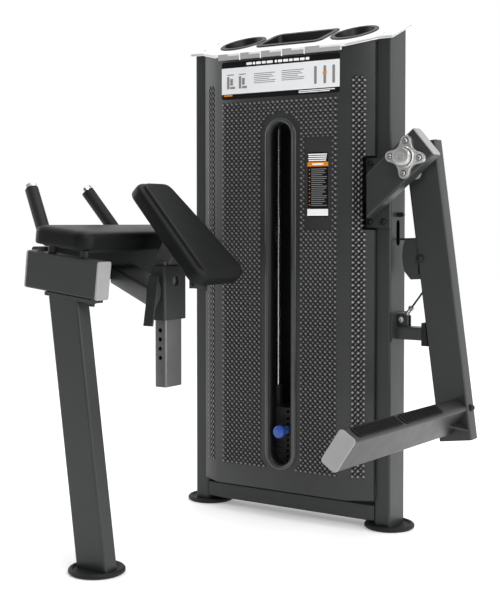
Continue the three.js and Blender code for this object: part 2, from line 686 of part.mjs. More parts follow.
// ---------- rest stop and cable anchor on the right post ----------

function addStop() {
  const plateX = POST_OUTER + GAP;
  const plate = box([plateX, -49, 562], [plateX + 6, 49, 646]);
  const arm = tube(38, TUBE.narrow, 82, 6).rotateY(Math.PI / 2).translate(plateX + 5, 0, 586);
  const lug = polygon([[plateX + 4, 604], [389, 604], [389, 634], [383, 641], [plateX + 4, 641]]);
  const lugs = [-12, 7].map((start) => extrudeAlongY(lug, start, 5));
  const pin = rodAlongY(CABLE_ANCHOR.x, CABLE_ANCHOR.z, 5, -17, 17, 16);
  const head = rodAlongY(CABLE_ANCHOR.x, CABLE_ANCHOR.z, 8, -19, -11, 12);
  add('stop_bracket', join(plate, arm, ...lugs, pin, head), GRAPHITE);

  const armLeft = (z) => ARM_TOP.x + (ARM_TOP.z - z) * Math.tan(ARM_LEAN) - TUBE.wide / 2 / Math.cos(ARM_LEAN) - GAP;
  const startX = plateX + 5 + 82 + GAP;
  const rubber = polygon([[startX, 552], [armLeft(552), 552], [armLeft(619), 619], [startX, 619]]);
  add('stop_rubber', extrudeAlongY(rubber, -25, 50), RUBBER);
  add('post_peg', rodAlongX(0, 934, 7, POST_OUTER + GAP, 366, 16), BLACK_PLASTIC);
}

// ---------- user frame ----------

function addBeam() {
  const startY = -50 - GAP;
  const bar = tube(TUBE.narrow, TUBE.wide, -BEAM.end + startY - 4).rotateX(Math.PI / 2);
  const plate = box([-372, startY - PLATE, 696], [-300, startY, 896]);
  const middle = BEAM.low + TUBE.wide / 2;
  add('main_beam', join(bar.translate(BEAM.x, startY - 4, middle), plate), GRAPHITE);
}

function addCrossbar() {
  const { x, y, z, length, tilt } = CROSSBAR;
  const place = (geometry) => geometry.rotateY(tilt).translate(x, y, z);
  const bar = tube(TUBE.wide, TUBE.narrow, length, 6).rotateY(Math.PI / 2).translate(-length / 2, 0, 0);
  const spacers = [-57, 56].map((at) => rodAlongZ(at, 0, 11, TUBE.wide / 2 - 2, TUBE.wide / 2 + 20, 16));
  add('crossbar', place(join(bar, ...spacers)), GRAPHITE);

  const capShape = roundedRect(TUBE.wide, TUBE.narrow, 6);
  const plug = roundedRect(TUBE.wide - 2 * WALL - 1, TUBE.narrow - 2 * WALL - 1, 3);
  for (const [name, side] of [['crossbar_cap_right', 1], ['crossbar_cap_left', -1]]) {
    const cap = join(extrude(capShape, 5, 3), extrude(plug, 12, 2).translate(0, 0, -12));
    cap.translate(0, 0, length / 2 + GAP).rotateY((side * Math.PI) / 2);
    add(name, place(cap), CAP_GREY);
  }
}

function addLeg() {
  const { footX, lean, flange, flangeThick } = LEG;
  const { x, z, tilt } = CROSSBAR;
  const up = new THREE.Vector3(-Math.sin(lean), 0, Math.cos(lean));
  const foot = new THREE.Vector3(footX, CROSSBAR.y, POST_BOTTOM).addScaledVector(up, -20);
  const top = foot.clone().addScaledVector(up, 740);
  const legBar = aim(tube(TUBE.wide, TUBE.narrow, foot.distanceTo(top)), foot, top, new THREE.Vector3(1, 0, 0));
  const under = TUBE.wide / 2 + GAP;
  const plate = new THREE.BoxGeometry(flange, TUBE.narrow, flangeThick).translate(29, 0, -under - flangeThick / 2);
  const ceiling = new THREE.BoxGeometry(600, 200, 400).translate(0, 0, 200 - under - flangeThick / 2);
  const place = (geometry) => geometry.rotateY(tilt).translate(x, CROSSBAR.y, z);
  const floor = box([-400, -1000, -100], [200, -600, POST_BOTTOM]);
  add('front_leg', join(cut(legBar, place(ceiling), floor), place(plate)), GRAPHITE);
}

function addBraceAndSleeve() {
  const { start, end } = BRACE;
  const flat = new THREE.Vector3(0, 1, 0);
  const along = end.clone().sub(start).normalize();
  const from = start.clone().addScaledVector(along, -60);
  const to = end.clone().addScaledVector(along, 60);
  const bar = aim(tube(TUBE.wide, TUBE.narrow, from.distanceTo(to)), from, to, flat);
  const left = box([-600, -900, 500], [start.x + GAP, -200, 1000]);
  const right = box([end.x - GAP, -900, 500], [200, -200, 1000]);
  add('brace', cut(bar, left, right), GRAPHITE);

  const { x, y, low, high, wall } = SLEEVE;
  const body = tube(TUBE.narrow, TUBE.wide - 2, high - low, 6, wall).translate(x, y, low);
  const sideHole = rodAlongX(y, 752, 13.5, x, x + 40, 24);
  const lug = box([x - 9, LEVER_Y - 5, LEVER.pivotZ - 8], [x + 9, y - TUBE.wide / 2 + 3, LEVER.pivotZ + 8]);
  const pin = rodAlongX(LEVER_Y, LEVER.pivotZ, 4, x - 16, x + 16, 12);
  add('height_sleeve', join(cut(body, sideHole), lug, pin), GRAPHITE);
}

function addLever() {
  const { width, top, bottom, pivotZ, lean } = LEVER;
  const thick = 5;
  const web = box([-width / 2, -9 - thick, bottom - pivotZ], [width / 2, -9, top - pivotZ]);
  const ear = polygon([[-10, -50], [7, -12], [7, 12], [-10, 36]]);
  const ears = [-width / 2, width / 2 - 4].map((start) => extrude(ear, 4).rotateX(Math.PI / 2).rotateZ(Math.PI / 2)
    .translate(start, 0, 0));
  const hole = rodAlongX(0, 0, 4 + GAP, -30, 30, 12);
  const lever = cut(join(web, ...ears), hole).rotateX(-lean);
  add('release_lever', lever.translate(SLEEVE.x, LEVER_Y, pivotZ), GRAPHITE);
}

function addPadSupport() {
  const { width, depth, low, high } = HEIGHT_TUBE;
  const { x, y } = SLEEVE;
  const post = tube(width, depth, high - low, 5, 3).translate(x, y, low);
  const holes = [];
  for (let i = 0; i < 4; i += 1) {
    holes.push(rodAlongY(x, 619 - i * 25, 6, y - depth, y, 16));
  }
  const along = CHEST.topLow.clone().sub(CHEST.topHigh).normalize();
  const normal = new THREE.Vector3(-along.z, 0, along.x);
  const under = (t, depthBelow) => CHEST.topHigh.clone().addScaledVector(along, t).addScaledVector(normal, -depthBelow);
  const xz = (v) => [v.x, v.z];
  const plateTop = CHEST.thick + GAP;
  const left = x - width / 2;
  const right = x + width / 2;
  const neck = polygon([
    [left, high - 12], [right, high - 12], [right + 14, high + 8], xz(under(215, plateTop + 3)),
    xz(under(150, plateTop + 3)), [left, high + 6],
  ]);
  const plate = polygon([
    xz(under(70, plateTop)), xz(under(70, plateTop + 6)), xz(under(280, plateTop + 6)), xz(under(280, plateTop)),
  ]);
  const neckBody = extrudeAlongY(neck, y - 32, 64);
  const plateBody = extrudeAlongY(plate, y - 50, 100);
  add('height_tube', join(cut(post, ...holes), neckBody, plateBody), SATIN_STEEL);
}

function softOutline(halfTop, halfBottom, length, radius) {
  const shape = new THREE.Shape();
  shape.moveTo(-halfTop + radius, 0);
  shape.lineTo(halfTop - radius, 0);
  shape.quadraticCurveTo(halfTop, 0, halfTop, radius);
  shape.lineTo(halfBottom, length - radius);
  shape.quadraticCurveTo(halfBottom, length, halfBottom - radius, length);
  shape.lineTo(-halfBottom + radius, length);
  shape.quadraticCurveTo(-halfBottom, length, -halfBottom, length - radius);
  shape.lineTo(-halfTop, radius);
  shape.quadraticCurveTo(-halfTop, 0, -halfTop + radius, 0);
  return shape;
}

function addPads() {
  const { x, width, length, thick, z, radius } = ELBOW_PAD;
  const elbow = extrude(roundedRect(width, length, radius), thick, 3).translate(0, 0, -thick / 2);
  add('elbow_pad', elbow.rotateY(CROSSBAR.tilt).translate(x, USER_Y, z), PAD_VINYL);

  const { topHigh, topLow, highWidth, lowWidth } = CHEST;
  const chest = extrude(softOutline(highWidth / 2, lowWidth / 2, topHigh.distanceTo(topLow), 40), CHEST.thick, 4);
  const along = topLow.clone().sub(topHigh).normalize();
  const sideways = new THREE.Vector3(0, 1, 0);
  const down = sideways.clone().cross(along);
  chest.applyMatrix4(new THREE.Matrix4().makeBasis(sideways, along, down).setPosition(topHigh));
  add('chest_pad', chest, PAD_VINYL);
}

function addHandles() {
  const { x, spread, tipX, tipSpread, tipZ, tube: radius, grip, cap } = HANDLE;
  const beamTop = BEAM.low + TUBE.wide;
  const beamSurface = box([-600, -1000, 500], [0, 0, beamTop + GAP]);
  for (const [suffix, side] of [['near', -1], ['far', 1]]) {
    const tip = new THREE.Vector3(tipX, USER_Y + side * tipSpread, tipZ);
    const root = new THREE.Vector3(x, USER_Y + side * spread, beamTop);
    const length = root.distanceTo(tip);
    const stem = turned([[0, -20], [radius, -20], [radius, length - cap], [grip, length - cap],
      [grip, length - 2], [grip - 2, length], [0, length]], 20);
    const sideways = new THREE.Vector3(0, 1, 0);
    add(`handle_${suffix}`, cut(aim(stem, root, tip, sideways), beamSurface), CHROME);
    const bore = radius + GAP;
    const end = length - cap - GAP;
    const sleeve = turned([[bore, 30], [grip, 30], [grip, end], [bore, end], [bore, 30]], 20);
    add(`grip_${suffix}`, aim(sleeve, root, tip, sideways), RUBBER);
  }
}

addPosts();
addRails();
addFeet();
addCovers();
addCap();
addCups();
addTray();
addStack();
addTopPlate();
addSelector();
addGuideRods();
addPulleys();
addCable();
addPivotBracket();
addBearings();
addShaft();
addArm();
addFootBar();
addStop();
addBeam();
addCrossbar();
addLeg();
addBraceAndSleeve();
addLever();
addPadSupport();
addPads();
addHandles();

// The part's own frame stands on the floor, centred under the whole machine
machine.updateMatrixWorld(true);
const extent = new THREE.Box3().setFromObject(machine, true);
machine.position.set(-(extent.min.x + extent.max.x) / 2, -(extent.min.y + extent.max.y) / 2, -extent.min.z);

export default machine;
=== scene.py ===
"""Looks for the kick-back machine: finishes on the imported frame, and the finer pieces built over it."""
import json
import math
import bmesh
import bpy
from mathutils import Matrix, Vector


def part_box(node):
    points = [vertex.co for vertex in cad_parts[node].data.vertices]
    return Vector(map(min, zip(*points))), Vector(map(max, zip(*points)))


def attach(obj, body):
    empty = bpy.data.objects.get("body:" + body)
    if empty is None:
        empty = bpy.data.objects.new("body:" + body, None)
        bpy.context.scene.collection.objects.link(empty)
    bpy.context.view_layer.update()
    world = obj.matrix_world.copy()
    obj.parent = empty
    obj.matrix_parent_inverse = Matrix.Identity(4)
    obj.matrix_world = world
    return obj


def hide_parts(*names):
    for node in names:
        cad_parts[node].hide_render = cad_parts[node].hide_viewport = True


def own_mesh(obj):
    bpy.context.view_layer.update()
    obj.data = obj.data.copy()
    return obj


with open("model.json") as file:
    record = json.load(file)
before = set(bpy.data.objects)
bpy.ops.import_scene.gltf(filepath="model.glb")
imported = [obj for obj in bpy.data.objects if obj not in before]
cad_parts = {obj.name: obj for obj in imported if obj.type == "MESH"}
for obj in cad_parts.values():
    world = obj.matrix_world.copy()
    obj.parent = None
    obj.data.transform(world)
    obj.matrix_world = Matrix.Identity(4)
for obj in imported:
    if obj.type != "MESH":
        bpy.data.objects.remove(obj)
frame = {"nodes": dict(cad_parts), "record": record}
NODES = frame["nodes"]
SLOTS = {part["node"]: part["material_slot"] for part in frame["record"]["subparts"]}
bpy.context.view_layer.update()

MM = 0.001
X, Y, Z = Vector((1, 0, 0)), Vector((0, 1, 0)), Vector((0, 0, 1))

# The tower's centre on the floor: every size below is in millimetres from there
LEFT_POST, RIGHT_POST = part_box("left_post"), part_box("right_post")
TOWER = Vector(((LEFT_POST[0][0] + RIGHT_POST[1][0]) / 2, (LEFT_POST[0][1] + LEFT_POST[1][1]) / 2, 0))


def at(x, y, z):
    """A point in tower millimetres, as metres in the row frame."""
    return TOWER + Vector((x, y, z)) * MM


# ---------- camera, light and floor ----------

CAMERA = {"place": (1862.8, -3106.1, 911.9), "pitch": 90 - 2.064, "turn": 33.24}
LENS = {"sensor": 36, "focal": 69.498, "shift": -0.0602}

# Area lights: place, target, size in metres and power in watts
LIGHTS = {
    "key": ((1900, -1900, 2500), (300, 0, 1100), 1.0, 26),
    "right": ((3500, -100, 1500), (250, 0, 900), 3.0, 50),
    "top": ((0, 300, 4200), (0, 0, 1000), 2.0, 45),
    "left": ((-3600, -900, 1900), (-300, -300, 800), 2.0, 22),
}
WORLD_DARK = 0.10
WORLD_LIGHT = 1.0
FLOOR_REACH = 14000
FLOOR_DROP = 0.5


def add_camera():
    camera = bpy.data.objects.new("camera", bpy.data.cameras.new("camera"))
    camera.location = at(*CAMERA["place"])
    camera.rotation_euler = (math.radians(CAMERA["pitch"]), 0, math.radians(CAMERA["turn"]))
    camera.data.sensor_width = LENS["sensor"]
    camera.data.lens = LENS["focal"]
    camera.data.shift_y = LENS["shift"]
    bpy.context.scene.collection.objects.link(camera)
    bpy.context.scene.camera = camera


def add_area_light(name, place, target, size, power):
    light = bpy.data.lights.new(name, "AREA")
    light.shape = "DISK"
    light.size = size
    light.energy = power
    lamp = bpy.data.objects.new(name, light)
    lamp.location = at(*place)
    lamp.rotation_euler = (at(*target) - lamp.location).to_track_quat("-Z", "Y").to_euler()
    bpy.context.scene.collection.objects.link(lamp)


def studio_world():
    """White all round except for a darker side in front, so that front faces stay deep."""
    world = bpy.data.worlds.new("studio")
    world.use_nodes = True
    tree = world.node_tree
    direction_in = tree.nodes.new("ShaderNodeTexCoord").outputs["Generated"]
    split = tree.nodes.new("ShaderNodeSeparateXYZ")
    level = tree.nodes.new("ShaderNodeMapRange")
    level.interpolation_type = "SMOOTHSTEP"
    level.inputs["From Min"].default_value = -0.95
    level.inputs["From Max"].default_value = -0.15
    level.inputs["To Min"].default_value = WORLD_DARK
    level.inputs["To Max"].default_value = WORLD_LIGHT
    tree.links.new(direction_in, split.inputs["Vector"])
    tree.links.new(split.outputs["Y"], level.inputs["Value"])
    tree.links.new(level.outputs["Result"], tree.nodes["Background"].inputs["Strength"])
    tree.nodes["Background"].inputs["Color"].default_value = (1, 1, 1, 1)
    return world


def floor_material():
    """A plain pale floor with a little light of its own, so that it stays white far away."""
    material = bpy.data.materials.new("floor")
    material.use_nodes = True
    shader = material.node_tree.nodes["Principled BSDF"]
    shader.inputs["Base Color"].default_value = (0.93, 0.93, 0.93, 1)
    shader.inputs["Roughness"].default_value = 0.8
    shader.inputs["Emission Color"].default_value = (1, 1, 1, 1)
    shader.inputs["Emission Strength"].default_value = 0.26
    return material


def add_floor():
    mesh = bpy.data.meshes.new("floor")
    corners = [(-1, -1), (1, -1), (1, 1), (-1, 1)]
    mesh.from_pydata([at(x * FLOOR_REACH, y * FLOOR_REACH, 0) for x, y in corners], [], [(0, 1, 2, 3)])
    mesh.materials.append(floor_material())
    floor = bpy.data.objects.new("floor", mesh)
    floor.location.z = -FLOOR_DROP * MM
    bpy.context.scene.collection.objects.link(floor)


def add_studio():
    bpy.context.scene.world = studio_world()
    bpy.context.scene.view_settings.view_transform = "Standard"
    for name, (place, target, size, power) in LIGHTS.items():
        add_area_light(name, place, target, size, power)
    add_floor()


# ---------- finishes ----------

def new_node(tree, kind, **inputs):
    node = tree.nodes.new(kind)
    for name, value in inputs.items():
        node.inputs[name].default_value = value
    return node


def noise(tree, place, scale, detail=3):
    node = new_node(tree, "ShaderNodeTexNoise", Scale=scale, Detail=detail)
    tree.links.new(place, node.inputs["Vector"])
    return node.outputs["Fac"]


def ramp(tree, value, low, high, start=0.3, end=0.7):
    node = tree.nodes.new("ShaderNodeValToRGB")
    stops = node.color_ramp.elements
    stops[0].position, stops[0].color = start, (*low, 1)
    stops[1].position, stops[1].color = end, (*high, 1)
    tree.links.new(value, node.inputs["Fac"])
    return node.outputs["Color"]


def spread(tree, value, low, high):
    node = new_node(tree, "ShaderNodeMapRange")
    node.inputs["From Min"].default_value = 0.3
    node.inputs["From Max"].default_value = 0.7
    node.inputs["To Min"].default_value = low
    node.inputs["To Max"].default_value = high
    tree.links.new(value, node.inputs["Value"])
    return node.outputs["Result"]


def finish(name, color, rough, metal=0.0, grain=900.0, bump=0.05, vary=0.08, coat=0.0, gloss=0.5,
           cells=None, brushed=None):
    """A finish with cloudy colour, uneven gloss and a fine surface: grain, leather cells or brushing."""
    made = bpy.data.materials.new(name)
    made.use_nodes = True
    tree = made.node_tree
    shader = tree.nodes["Principled BSDF"]
    shader.inputs["Metallic"].default_value = metal
    shader.inputs["Specular IOR Level"].default_value = gloss
    shader.inputs["Coat Weight"].default_value = coat
    shader.inputs["Coat Roughness"].default_value = 0.25
    place = tree.nodes.new("ShaderNodeTexCoord").outputs["Object"]
    clouds = noise(tree, place, 9.0, 5)
    dark = [c * (1 - vary) for c in color]
    light = [min(1, c * (1 + vary)) for c in color]
    tree.links.new(ramp(tree, clouds, dark, light), shader.inputs["Base Color"])
    smudge = noise(tree, place, 23.0, 6)
    tree.links.new(spread(tree, smudge, rough - 0.02, rough + 0.03), shader.inputs["Roughness"])
    if brushed:
        stretch = new_node(tree, "ShaderNodeVectorMath", Vector_001=brushed)
        stretch.operation = "MULTIPLY"
        tree.links.new(place, stretch.inputs[0])
        place = stretch.outputs["Vector"]
    if cells:
        texture = new_node(tree, "ShaderNodeTexVoronoi", Scale=cells)
        tree.links.new(place, texture.inputs["Vector"])
        height = texture.outputs["Distance"]
    else:
        height = noise(tree, place, grain, 2)
    relief = new_node(tree, "ShaderNodeBump", Strength=bump, Distance=0.001)
    tree.links.new(height, relief.inputs["Height"])
    tree.links.new(relief.outputs["Normal"], shader.inputs["Normal"])
    return made


def woven_shaded_finish(color):
    """The cover paint with painted shade and highlight: darker down in the crevices of the weave as
    painted shade, and brighter on its crowns as a painted highlight.
    """
    made = finish("woven_paint_shaded", color, 0.30, metal=0.3, grain=1200, bump=0.04)
    tree = made.node_tree
    shader = tree.nodes["Principled BSDF"]
    lift_and_shade = tree.nodes.new("ShaderNodeAttribute")
    lift_and_shade.attribute_name = "lift_and_shade"
    # Painted shade: the paint goes near black where the strand lift is low, down in the crevices.
    shade = ramp(tree, lift_and_shade.outputs["Fac"], (0.012, 0.012, 0.012), (1, 1, 1), 0.42, 1.0)
    mix = tree.nodes.new("ShaderNodeMix")
    mix.data_type = "RGBA"
    mix.blend_type = "MULTIPLY"
    mix.inputs[0].default_value = 1
    base = shader.inputs["Base Color"].links[0].from_socket
    tree.links.new(base, mix.inputs[6])
    tree.links.new(shade, mix.inputs[7])
    tree.links.new(mix.outputs[2], shader.inputs["Base Color"])
    return made


FINISH = {
    "graphite_paint": finish("graphite_paint", (0.033, 0.035, 0.035), 0.38, metal=0.2, bump=0.04,
                             vary=0.05, gloss=0.4),
    "cover_paint": finish("cover_paint", (0.031, 0.032, 0.032), 0.38, metal=0.2, bump=0.05, gloss=0.45),
    "cap_silver": finish("cap_silver", (0.86, 0.86, 0.86), 0.32, bump=0.02, vary=0.01, coat=0.3),
    "tube_cap_silver": finish("tube_cap_silver", (0.33, 0.33, 0.33), 0.42, metal=0.3, bump=0.05),
    "black_plastic": finish("black_plastic", (0.008, 0.008, 0.009), 0.42, bump=0.08, grain=1500,
                            gloss=0.35),
    "black_rubber": finish("black_rubber", (0.008, 0.008, 0.008), 0.6, bump=0.15, grain=1300,
                           gloss=0.3),
    "chrome": finish("chrome", (0.80, 0.80, 0.81), 0.20, metal=1, bump=0.01, vary=0.02),
    "satin_steel": finish("satin_steel", (0.19, 0.19, 0.19), 0.36, metal=0.85, bump=0.08,
                          brushed=(1, 1, 0.03)),
    "cast_silver": finish("cast_silver", (0.60, 0.595, 0.58), 0.30, metal=0.8, bump=0.12, grain=500),
    "stack_iron": finish("stack_iron", (0.020, 0.020, 0.021), 0.5, bump=0.12, grain=500),
    "pad_vinyl": finish("pad_vinyl", (0.0060, 0.0064, 0.0064), 0.42, bump=0.2, cells=850,
                        vary=0.05, gloss=0.14),
    "knob_blue": finish("knob_blue", (0.022, 0.075, 0.34), 0.34, bump=0.03),
    "cable_coat": finish("cable_coat", (0.008, 0.008, 0.008), 0.34, bump=0.05),
}
# The weave's colour is far lighter than the cover paint: a painted highlight on the crowns.
WOVEN = woven_shaded_finish((0.24, 0.243, 0.243))
# A darker copy of the graphite paint for the foot bar: painted shade, so that its side facing down to the
# bright floor stays dark.
BAR_SHADED_PAINT = finish("bar_paint_shaded", (0.021, 0.021, 0.020), 0.36, metal=0.2, bump=0.04, vary=0.05, gloss=0.3)
TREAD_RUBBER = finish("tread_rubber", (0.004, 0.004, 0.004), 0.5, bump=0.1, grain=1300, gloss=0.15)
# The bead's paint is glossier than the cover paint, which is real, and lighter, which is a painted
# highlight.
BEAD_LIT_PAINT = finish("bead_paint_lit", (0.048, 0.050, 0.050), 0.24, metal=0.25, bump=0.03, coat=0.3)
CAP_EDGE = finish("cap_edge", (0.36, 0.36, 0.36), 0.42, bump=0.03, vary=0.02)
LABEL_BLACK = finish("label_black", (0.003, 0.003, 0.003), 0.5, bump=0.02, gloss=0.15)
LABEL_PALE = finish("label_pale", (0.82, 0.83, 0.84), 0.5, bump=0.02, vary=0.02, gloss=0.2)
LABEL_WHITE = finish("label_white", (0.95, 0.95, 0.95), 0.5, bump=0.02, vary=0.01, gloss=0.2)
LABEL_GREY = finish("label_grey", (0.24, 0.24, 0.24), 0.5, bump=0.02, vary=0.02, gloss=0.2)
LABEL_ORANGE = finish("label_orange", (0.75, 0.24, 0.015), 0.5, bump=0.02, vary=0.02, gloss=0.2)
BOLT_BLACK = finish("bolt_black", (0.012, 0.012, 0.013), 0.34, metal=0.3, bump=0.05)
BOLT_STEEL = finish("bolt_steel", (0.42, 0.42, 0.42), 0.28, metal=1, bump=0.05)


# ---------- mesh helpers ----------

def smooth_by_angle():
    """A modifier group that shades smooth except across edges sharper than 32 degrees."""
    group = bpy.data.node_groups.new("smooth_by_angle", "GeometryNodeTree")
    group.interface.new_socket("Geometry", in_out="INPUT", socket_type="NodeSocketGeometry")
    group.interface.new_socket("Geometry", in_out="OUTPUT", socket_type="NodeSocketGeometry")
    source = group.nodes.new("NodeGroupInput")
    result = group.nodes.new("NodeGroupOutput")
    angle = group.nodes.new("GeometryNodeInputMeshEdgeAngle")
    compare = group.nodes.new("FunctionNodeCompare")
    compare.data_type = "FLOAT"
    compare.operation = "GREATER_THAN"
    compare.inputs[1].default_value = math.radians(32)
    smooth = group.nodes.new("GeometryNodeSetShadeSmooth")
    sharp = group.nodes.new("GeometryNodeSetShadeSmooth")
    sharp.domain = "EDGE"
    sharp.inputs["Shade Smooth"].default_value = False
    group.links.new(source.outputs[0], smooth.inputs["Geometry"])
    group.links.new(angle.outputs["Unsigned Angle"], compare.inputs[0])
    group.links.new(smooth.outputs["Geometry"], sharp.inputs["Geometry"])
    group.links.new(compare.outputs[0], sharp.inputs["Selection"])
    group.links.new(sharp.outputs["Geometry"], result.inputs[0])
    return group


SMOOTH = smooth_by_angle()


def soften(piece, width=0.0, segments=2, angle=36.0):
    """Rounds a piece's edges by width millimetres and shades it."""
    if width:
        bevel = piece.modifiers.new("edges", "BEVEL")
        bevel.width = width * MM
        bevel.segments = segments
        bevel.limit_method = "ANGLE"
        bevel.angle_limit = math.radians(angle)
    shade = piece.modifiers.new("shade", "NODES")
    shade.node_group = SMOOTH
    if width:
        level = piece.modifiers.new("level", "WEIGHTED_NORMAL")
        level.keep_sharp = True
    return piece


def piece_from(name, verts, faces, material, body="frame", slot=None, width=0.0, segments=2):
    """A new object from tower-millimetre vertices, riding on a body."""
    mesh = bpy.data.meshes.new(name)
    mesh.from_pydata([at(*v) for v in verts], [], faces)
    mesh.materials.append(material)
    work = bmesh.new()
    work.from_mesh(mesh)
    bmesh.ops.recalc_face_normals(work, faces=work.faces)
    work.to_mesh(mesh)
    work.free()
    piece = bpy.data.objects.new(name, mesh)
    bpy.context.scene.collection.objects.link(piece)
    soften(piece, width, segments)
    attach(piece, body)
    return piece


def finished(name, shape, slot, body="frame", width=0.0, segments=2):
    """A new object in the finish of its own slot."""
    return piece_from(name, *shape, FINISH[slot], body, slot, width, segments)


def joined(*shapes):
    """One vertex and face list from several."""
    verts, faces = [], []
    for shape_verts, shape_faces in shapes:
        start = len(verts)
        verts += [Vector(v) for v in shape_verts]
        faces += [tuple(start + i for i in face) for face in shape_faces]
    return verts, faces


def moved(shape, matrix):
    verts, faces = shape
    return [matrix @ Vector(v) for v in verts], faces


def facing(origin, x_axis, z_axis):
    """Places a shape with its own Z along z_axis and its own X as near x_axis as it can be."""
    up = Vector(z_axis).normalized()
    across = Vector(x_axis)
    across = (across - up * across.dot(up)).normalized()
    turn = Matrix((across, up.cross(across), up)).transposed().to_4x4()
    return Matrix.Translation(Vector(origin)) @ turn


def band(low, high, count):
    """The faces between two loops of count vertices, given by their first vertices."""
    return [(low + k, low + (k + 1) % count, high + (k + 1) % count, high + k) for k in range(count)]


def prism(outline, low, high):
    """An outline of (x, y) points raised from low to high along Z."""
    count = len(outline)
    verts = [(x, y, low) for x, y in outline] + [(x, y, high) for x, y in outline]
    return verts, [tuple(reversed(range(count))), tuple(range(count, 2 * count)), *band(0, count, count)]


def block(low, high):
    outline = [(low[0], low[1]), (high[0], low[1]), (high[0], high[1]), (low[0], high[1])]
    return prism(outline, low[2], high[2])


def turned(profile, segments=48):
    """A closed solid of (radius, height) points turned about Z; its ends lie on the axis."""
    verts, faces = [], []
    rings = []
    for radius, height in profile:
        if radius < 1e-6:
            rings.append([len(verts)])
            verts.append((0, 0, height))
            continue
        rings.append(list(range(len(verts), len(verts) + segments)))
        for k in range(segments):
            angle = 2 * math.pi * k / segments
            verts.append((radius * math.cos(angle), radius * math.sin(angle), height))
    for low, high in zip(rings, rings[1:]):
        for k in range(segments):
            n = (k + 1) % segments
            if len(low) == 1:
                faces.append((low[0], high[n], high[k]))
            elif len(high) == 1:
                faces.append((low[k], low[n], high[0]))
            else:
                faces.append((low[k], low[n], high[n], high[k]))
    return verts, faces


def rounded(width, height, radius, steps=6, centre=(0, 0)):
    """A rectangle with round corners, anticlockwise."""
    points = []
    for turn, (sx, sy) in enumerate(((1, 1), (-1, 1), (-1, -1), (1, -1))):
        for k in range(steps + 1):
            angle = math.pi / 2 * (turn + k / steps)
            x = centre[0] + sx * (width / 2 - radius) + radius * math.cos(angle)
            y = centre[1] + sy * (height / 2 - radius) + radius * math.sin(angle)
            points.append((x, y))
    return points


def stadium(x, low, high, width, steps=20):
    """An upright slot outline in (x, z)."""
    r = width / 2
    top = [(x + r * math.cos(math.pi * k / steps), high - r + r * math.sin(math.pi * k / steps))
           for k in range(steps + 1)]
    bottom = [(x - r * math.cos(math.pi * k / steps), low + r - r * math.sin(math.pi * k / steps))
              for k in range(steps + 1)]
    return top + bottom


def swept(path, section, closed=False):
    """A section of (side, up) points carried along a path, with Y kept as up where it can be."""
    verts, faces = [], []
    count, last = len(section), len(path)
    for i, point in enumerate(path):
        before = path[i - 1] if closed or i else path[i]
        after = path[(i + 1) % last] if closed or i < last - 1 else path[i]
        along = (Vector(after) - Vector(before)).normalized()
        up = Y if abs(along.dot(Y)) < 0.95 else Z
        side = along.cross(up).normalized()
        up = side.cross(along)
        verts += [Vector(point) + side * s + up * u for s, u in section]
    for i in range(last if closed else last - 1):
        faces += band(i * count, ((i + 1) % last) * count, count)
    if not closed:
        faces += [tuple(reversed(range(count))), tuple(range((last - 1) * count, last * count))]
    return verts, faces


def ring(radius, sides=12):
    return [(radius * math.cos(2 * math.pi * k / sides), radius * math.sin(2 * math.pi * k / sides))
            for k in range(sides)]


# ---------- frame finishes ----------

EDGE_WIDTH = {
    "top_cap": 1.6, "front_cover": 0.0, "back_cover": 0.0, "lower_weight_plates": 0.0, "selector_rod": 0.0,
    "pivot_shaft": 1.0, "foot_bar_cap": 1.8, "crossbar_cap_right": 1.6, "crossbar_cap_left": 1.6,
    "swing_arm": 0.7,
}
BEVELLED = {
    "graphite_paint": 0.8, "cap_silver": 1.5, "tube_cap_silver": 1.6, "stack_iron": 0.6,
    "satin_steel": 0.6,
}


def dress_nodes():
    for name, node in NODES.items():
        slot = SLOTS[name]
        node.data.materials.clear()
        # The foot bar takes the darker copy of the graphite paint, a painted shade.
        node.data.materials.append(BAR_SHADED_PAINT if name == "foot_bar" else FINISH[slot])
        weld = node.modifiers.new("weld", "WELD")
        weld.merge_threshold = 1e-5
        soften(node, EDGE_WIDTH.get(name, BEVELLED.get(slot, 0.0)))


# ---------- woven relief on the covers ----------

WEAVE_PITCH = 16.7
WEAVE_HEIGHT = 4.4
WEAVE_SEAT = 0.15
WEAVE_LOW = 150
CELL_STEPS = 4
# Painted shade: every second strand's colour is dimmed to this share of its lift.
SHADED_STRAND = 0.8


def weave_height(du, dv):
    """How high a strand stands at (du, dv) in its own cell, with the strand along u."""
    across = math.cos(math.pi * dv)
    along = 0.30 + 0.70 * math.cos(math.pi * du)
    return max(0.0, across) ** 0.8 * along


def weave_cells(low, high, skip):
    """Diamond cells of a diagonal weave in the plane (a, z), each strand passing over and under."""
    half = WEAVE_PITCH / 2
    columns = int((high[0] - low[0]) / half)
    rows = int((high[1] - low[1]) / half)
    for column in range(1, columns):
        for row in range(1, rows):
            if (column + row) % 2:
                continue
            a, z = low[0] + column * half, low[1] + row * half
            if not skip(a, z):
                yield a, z, column % 2


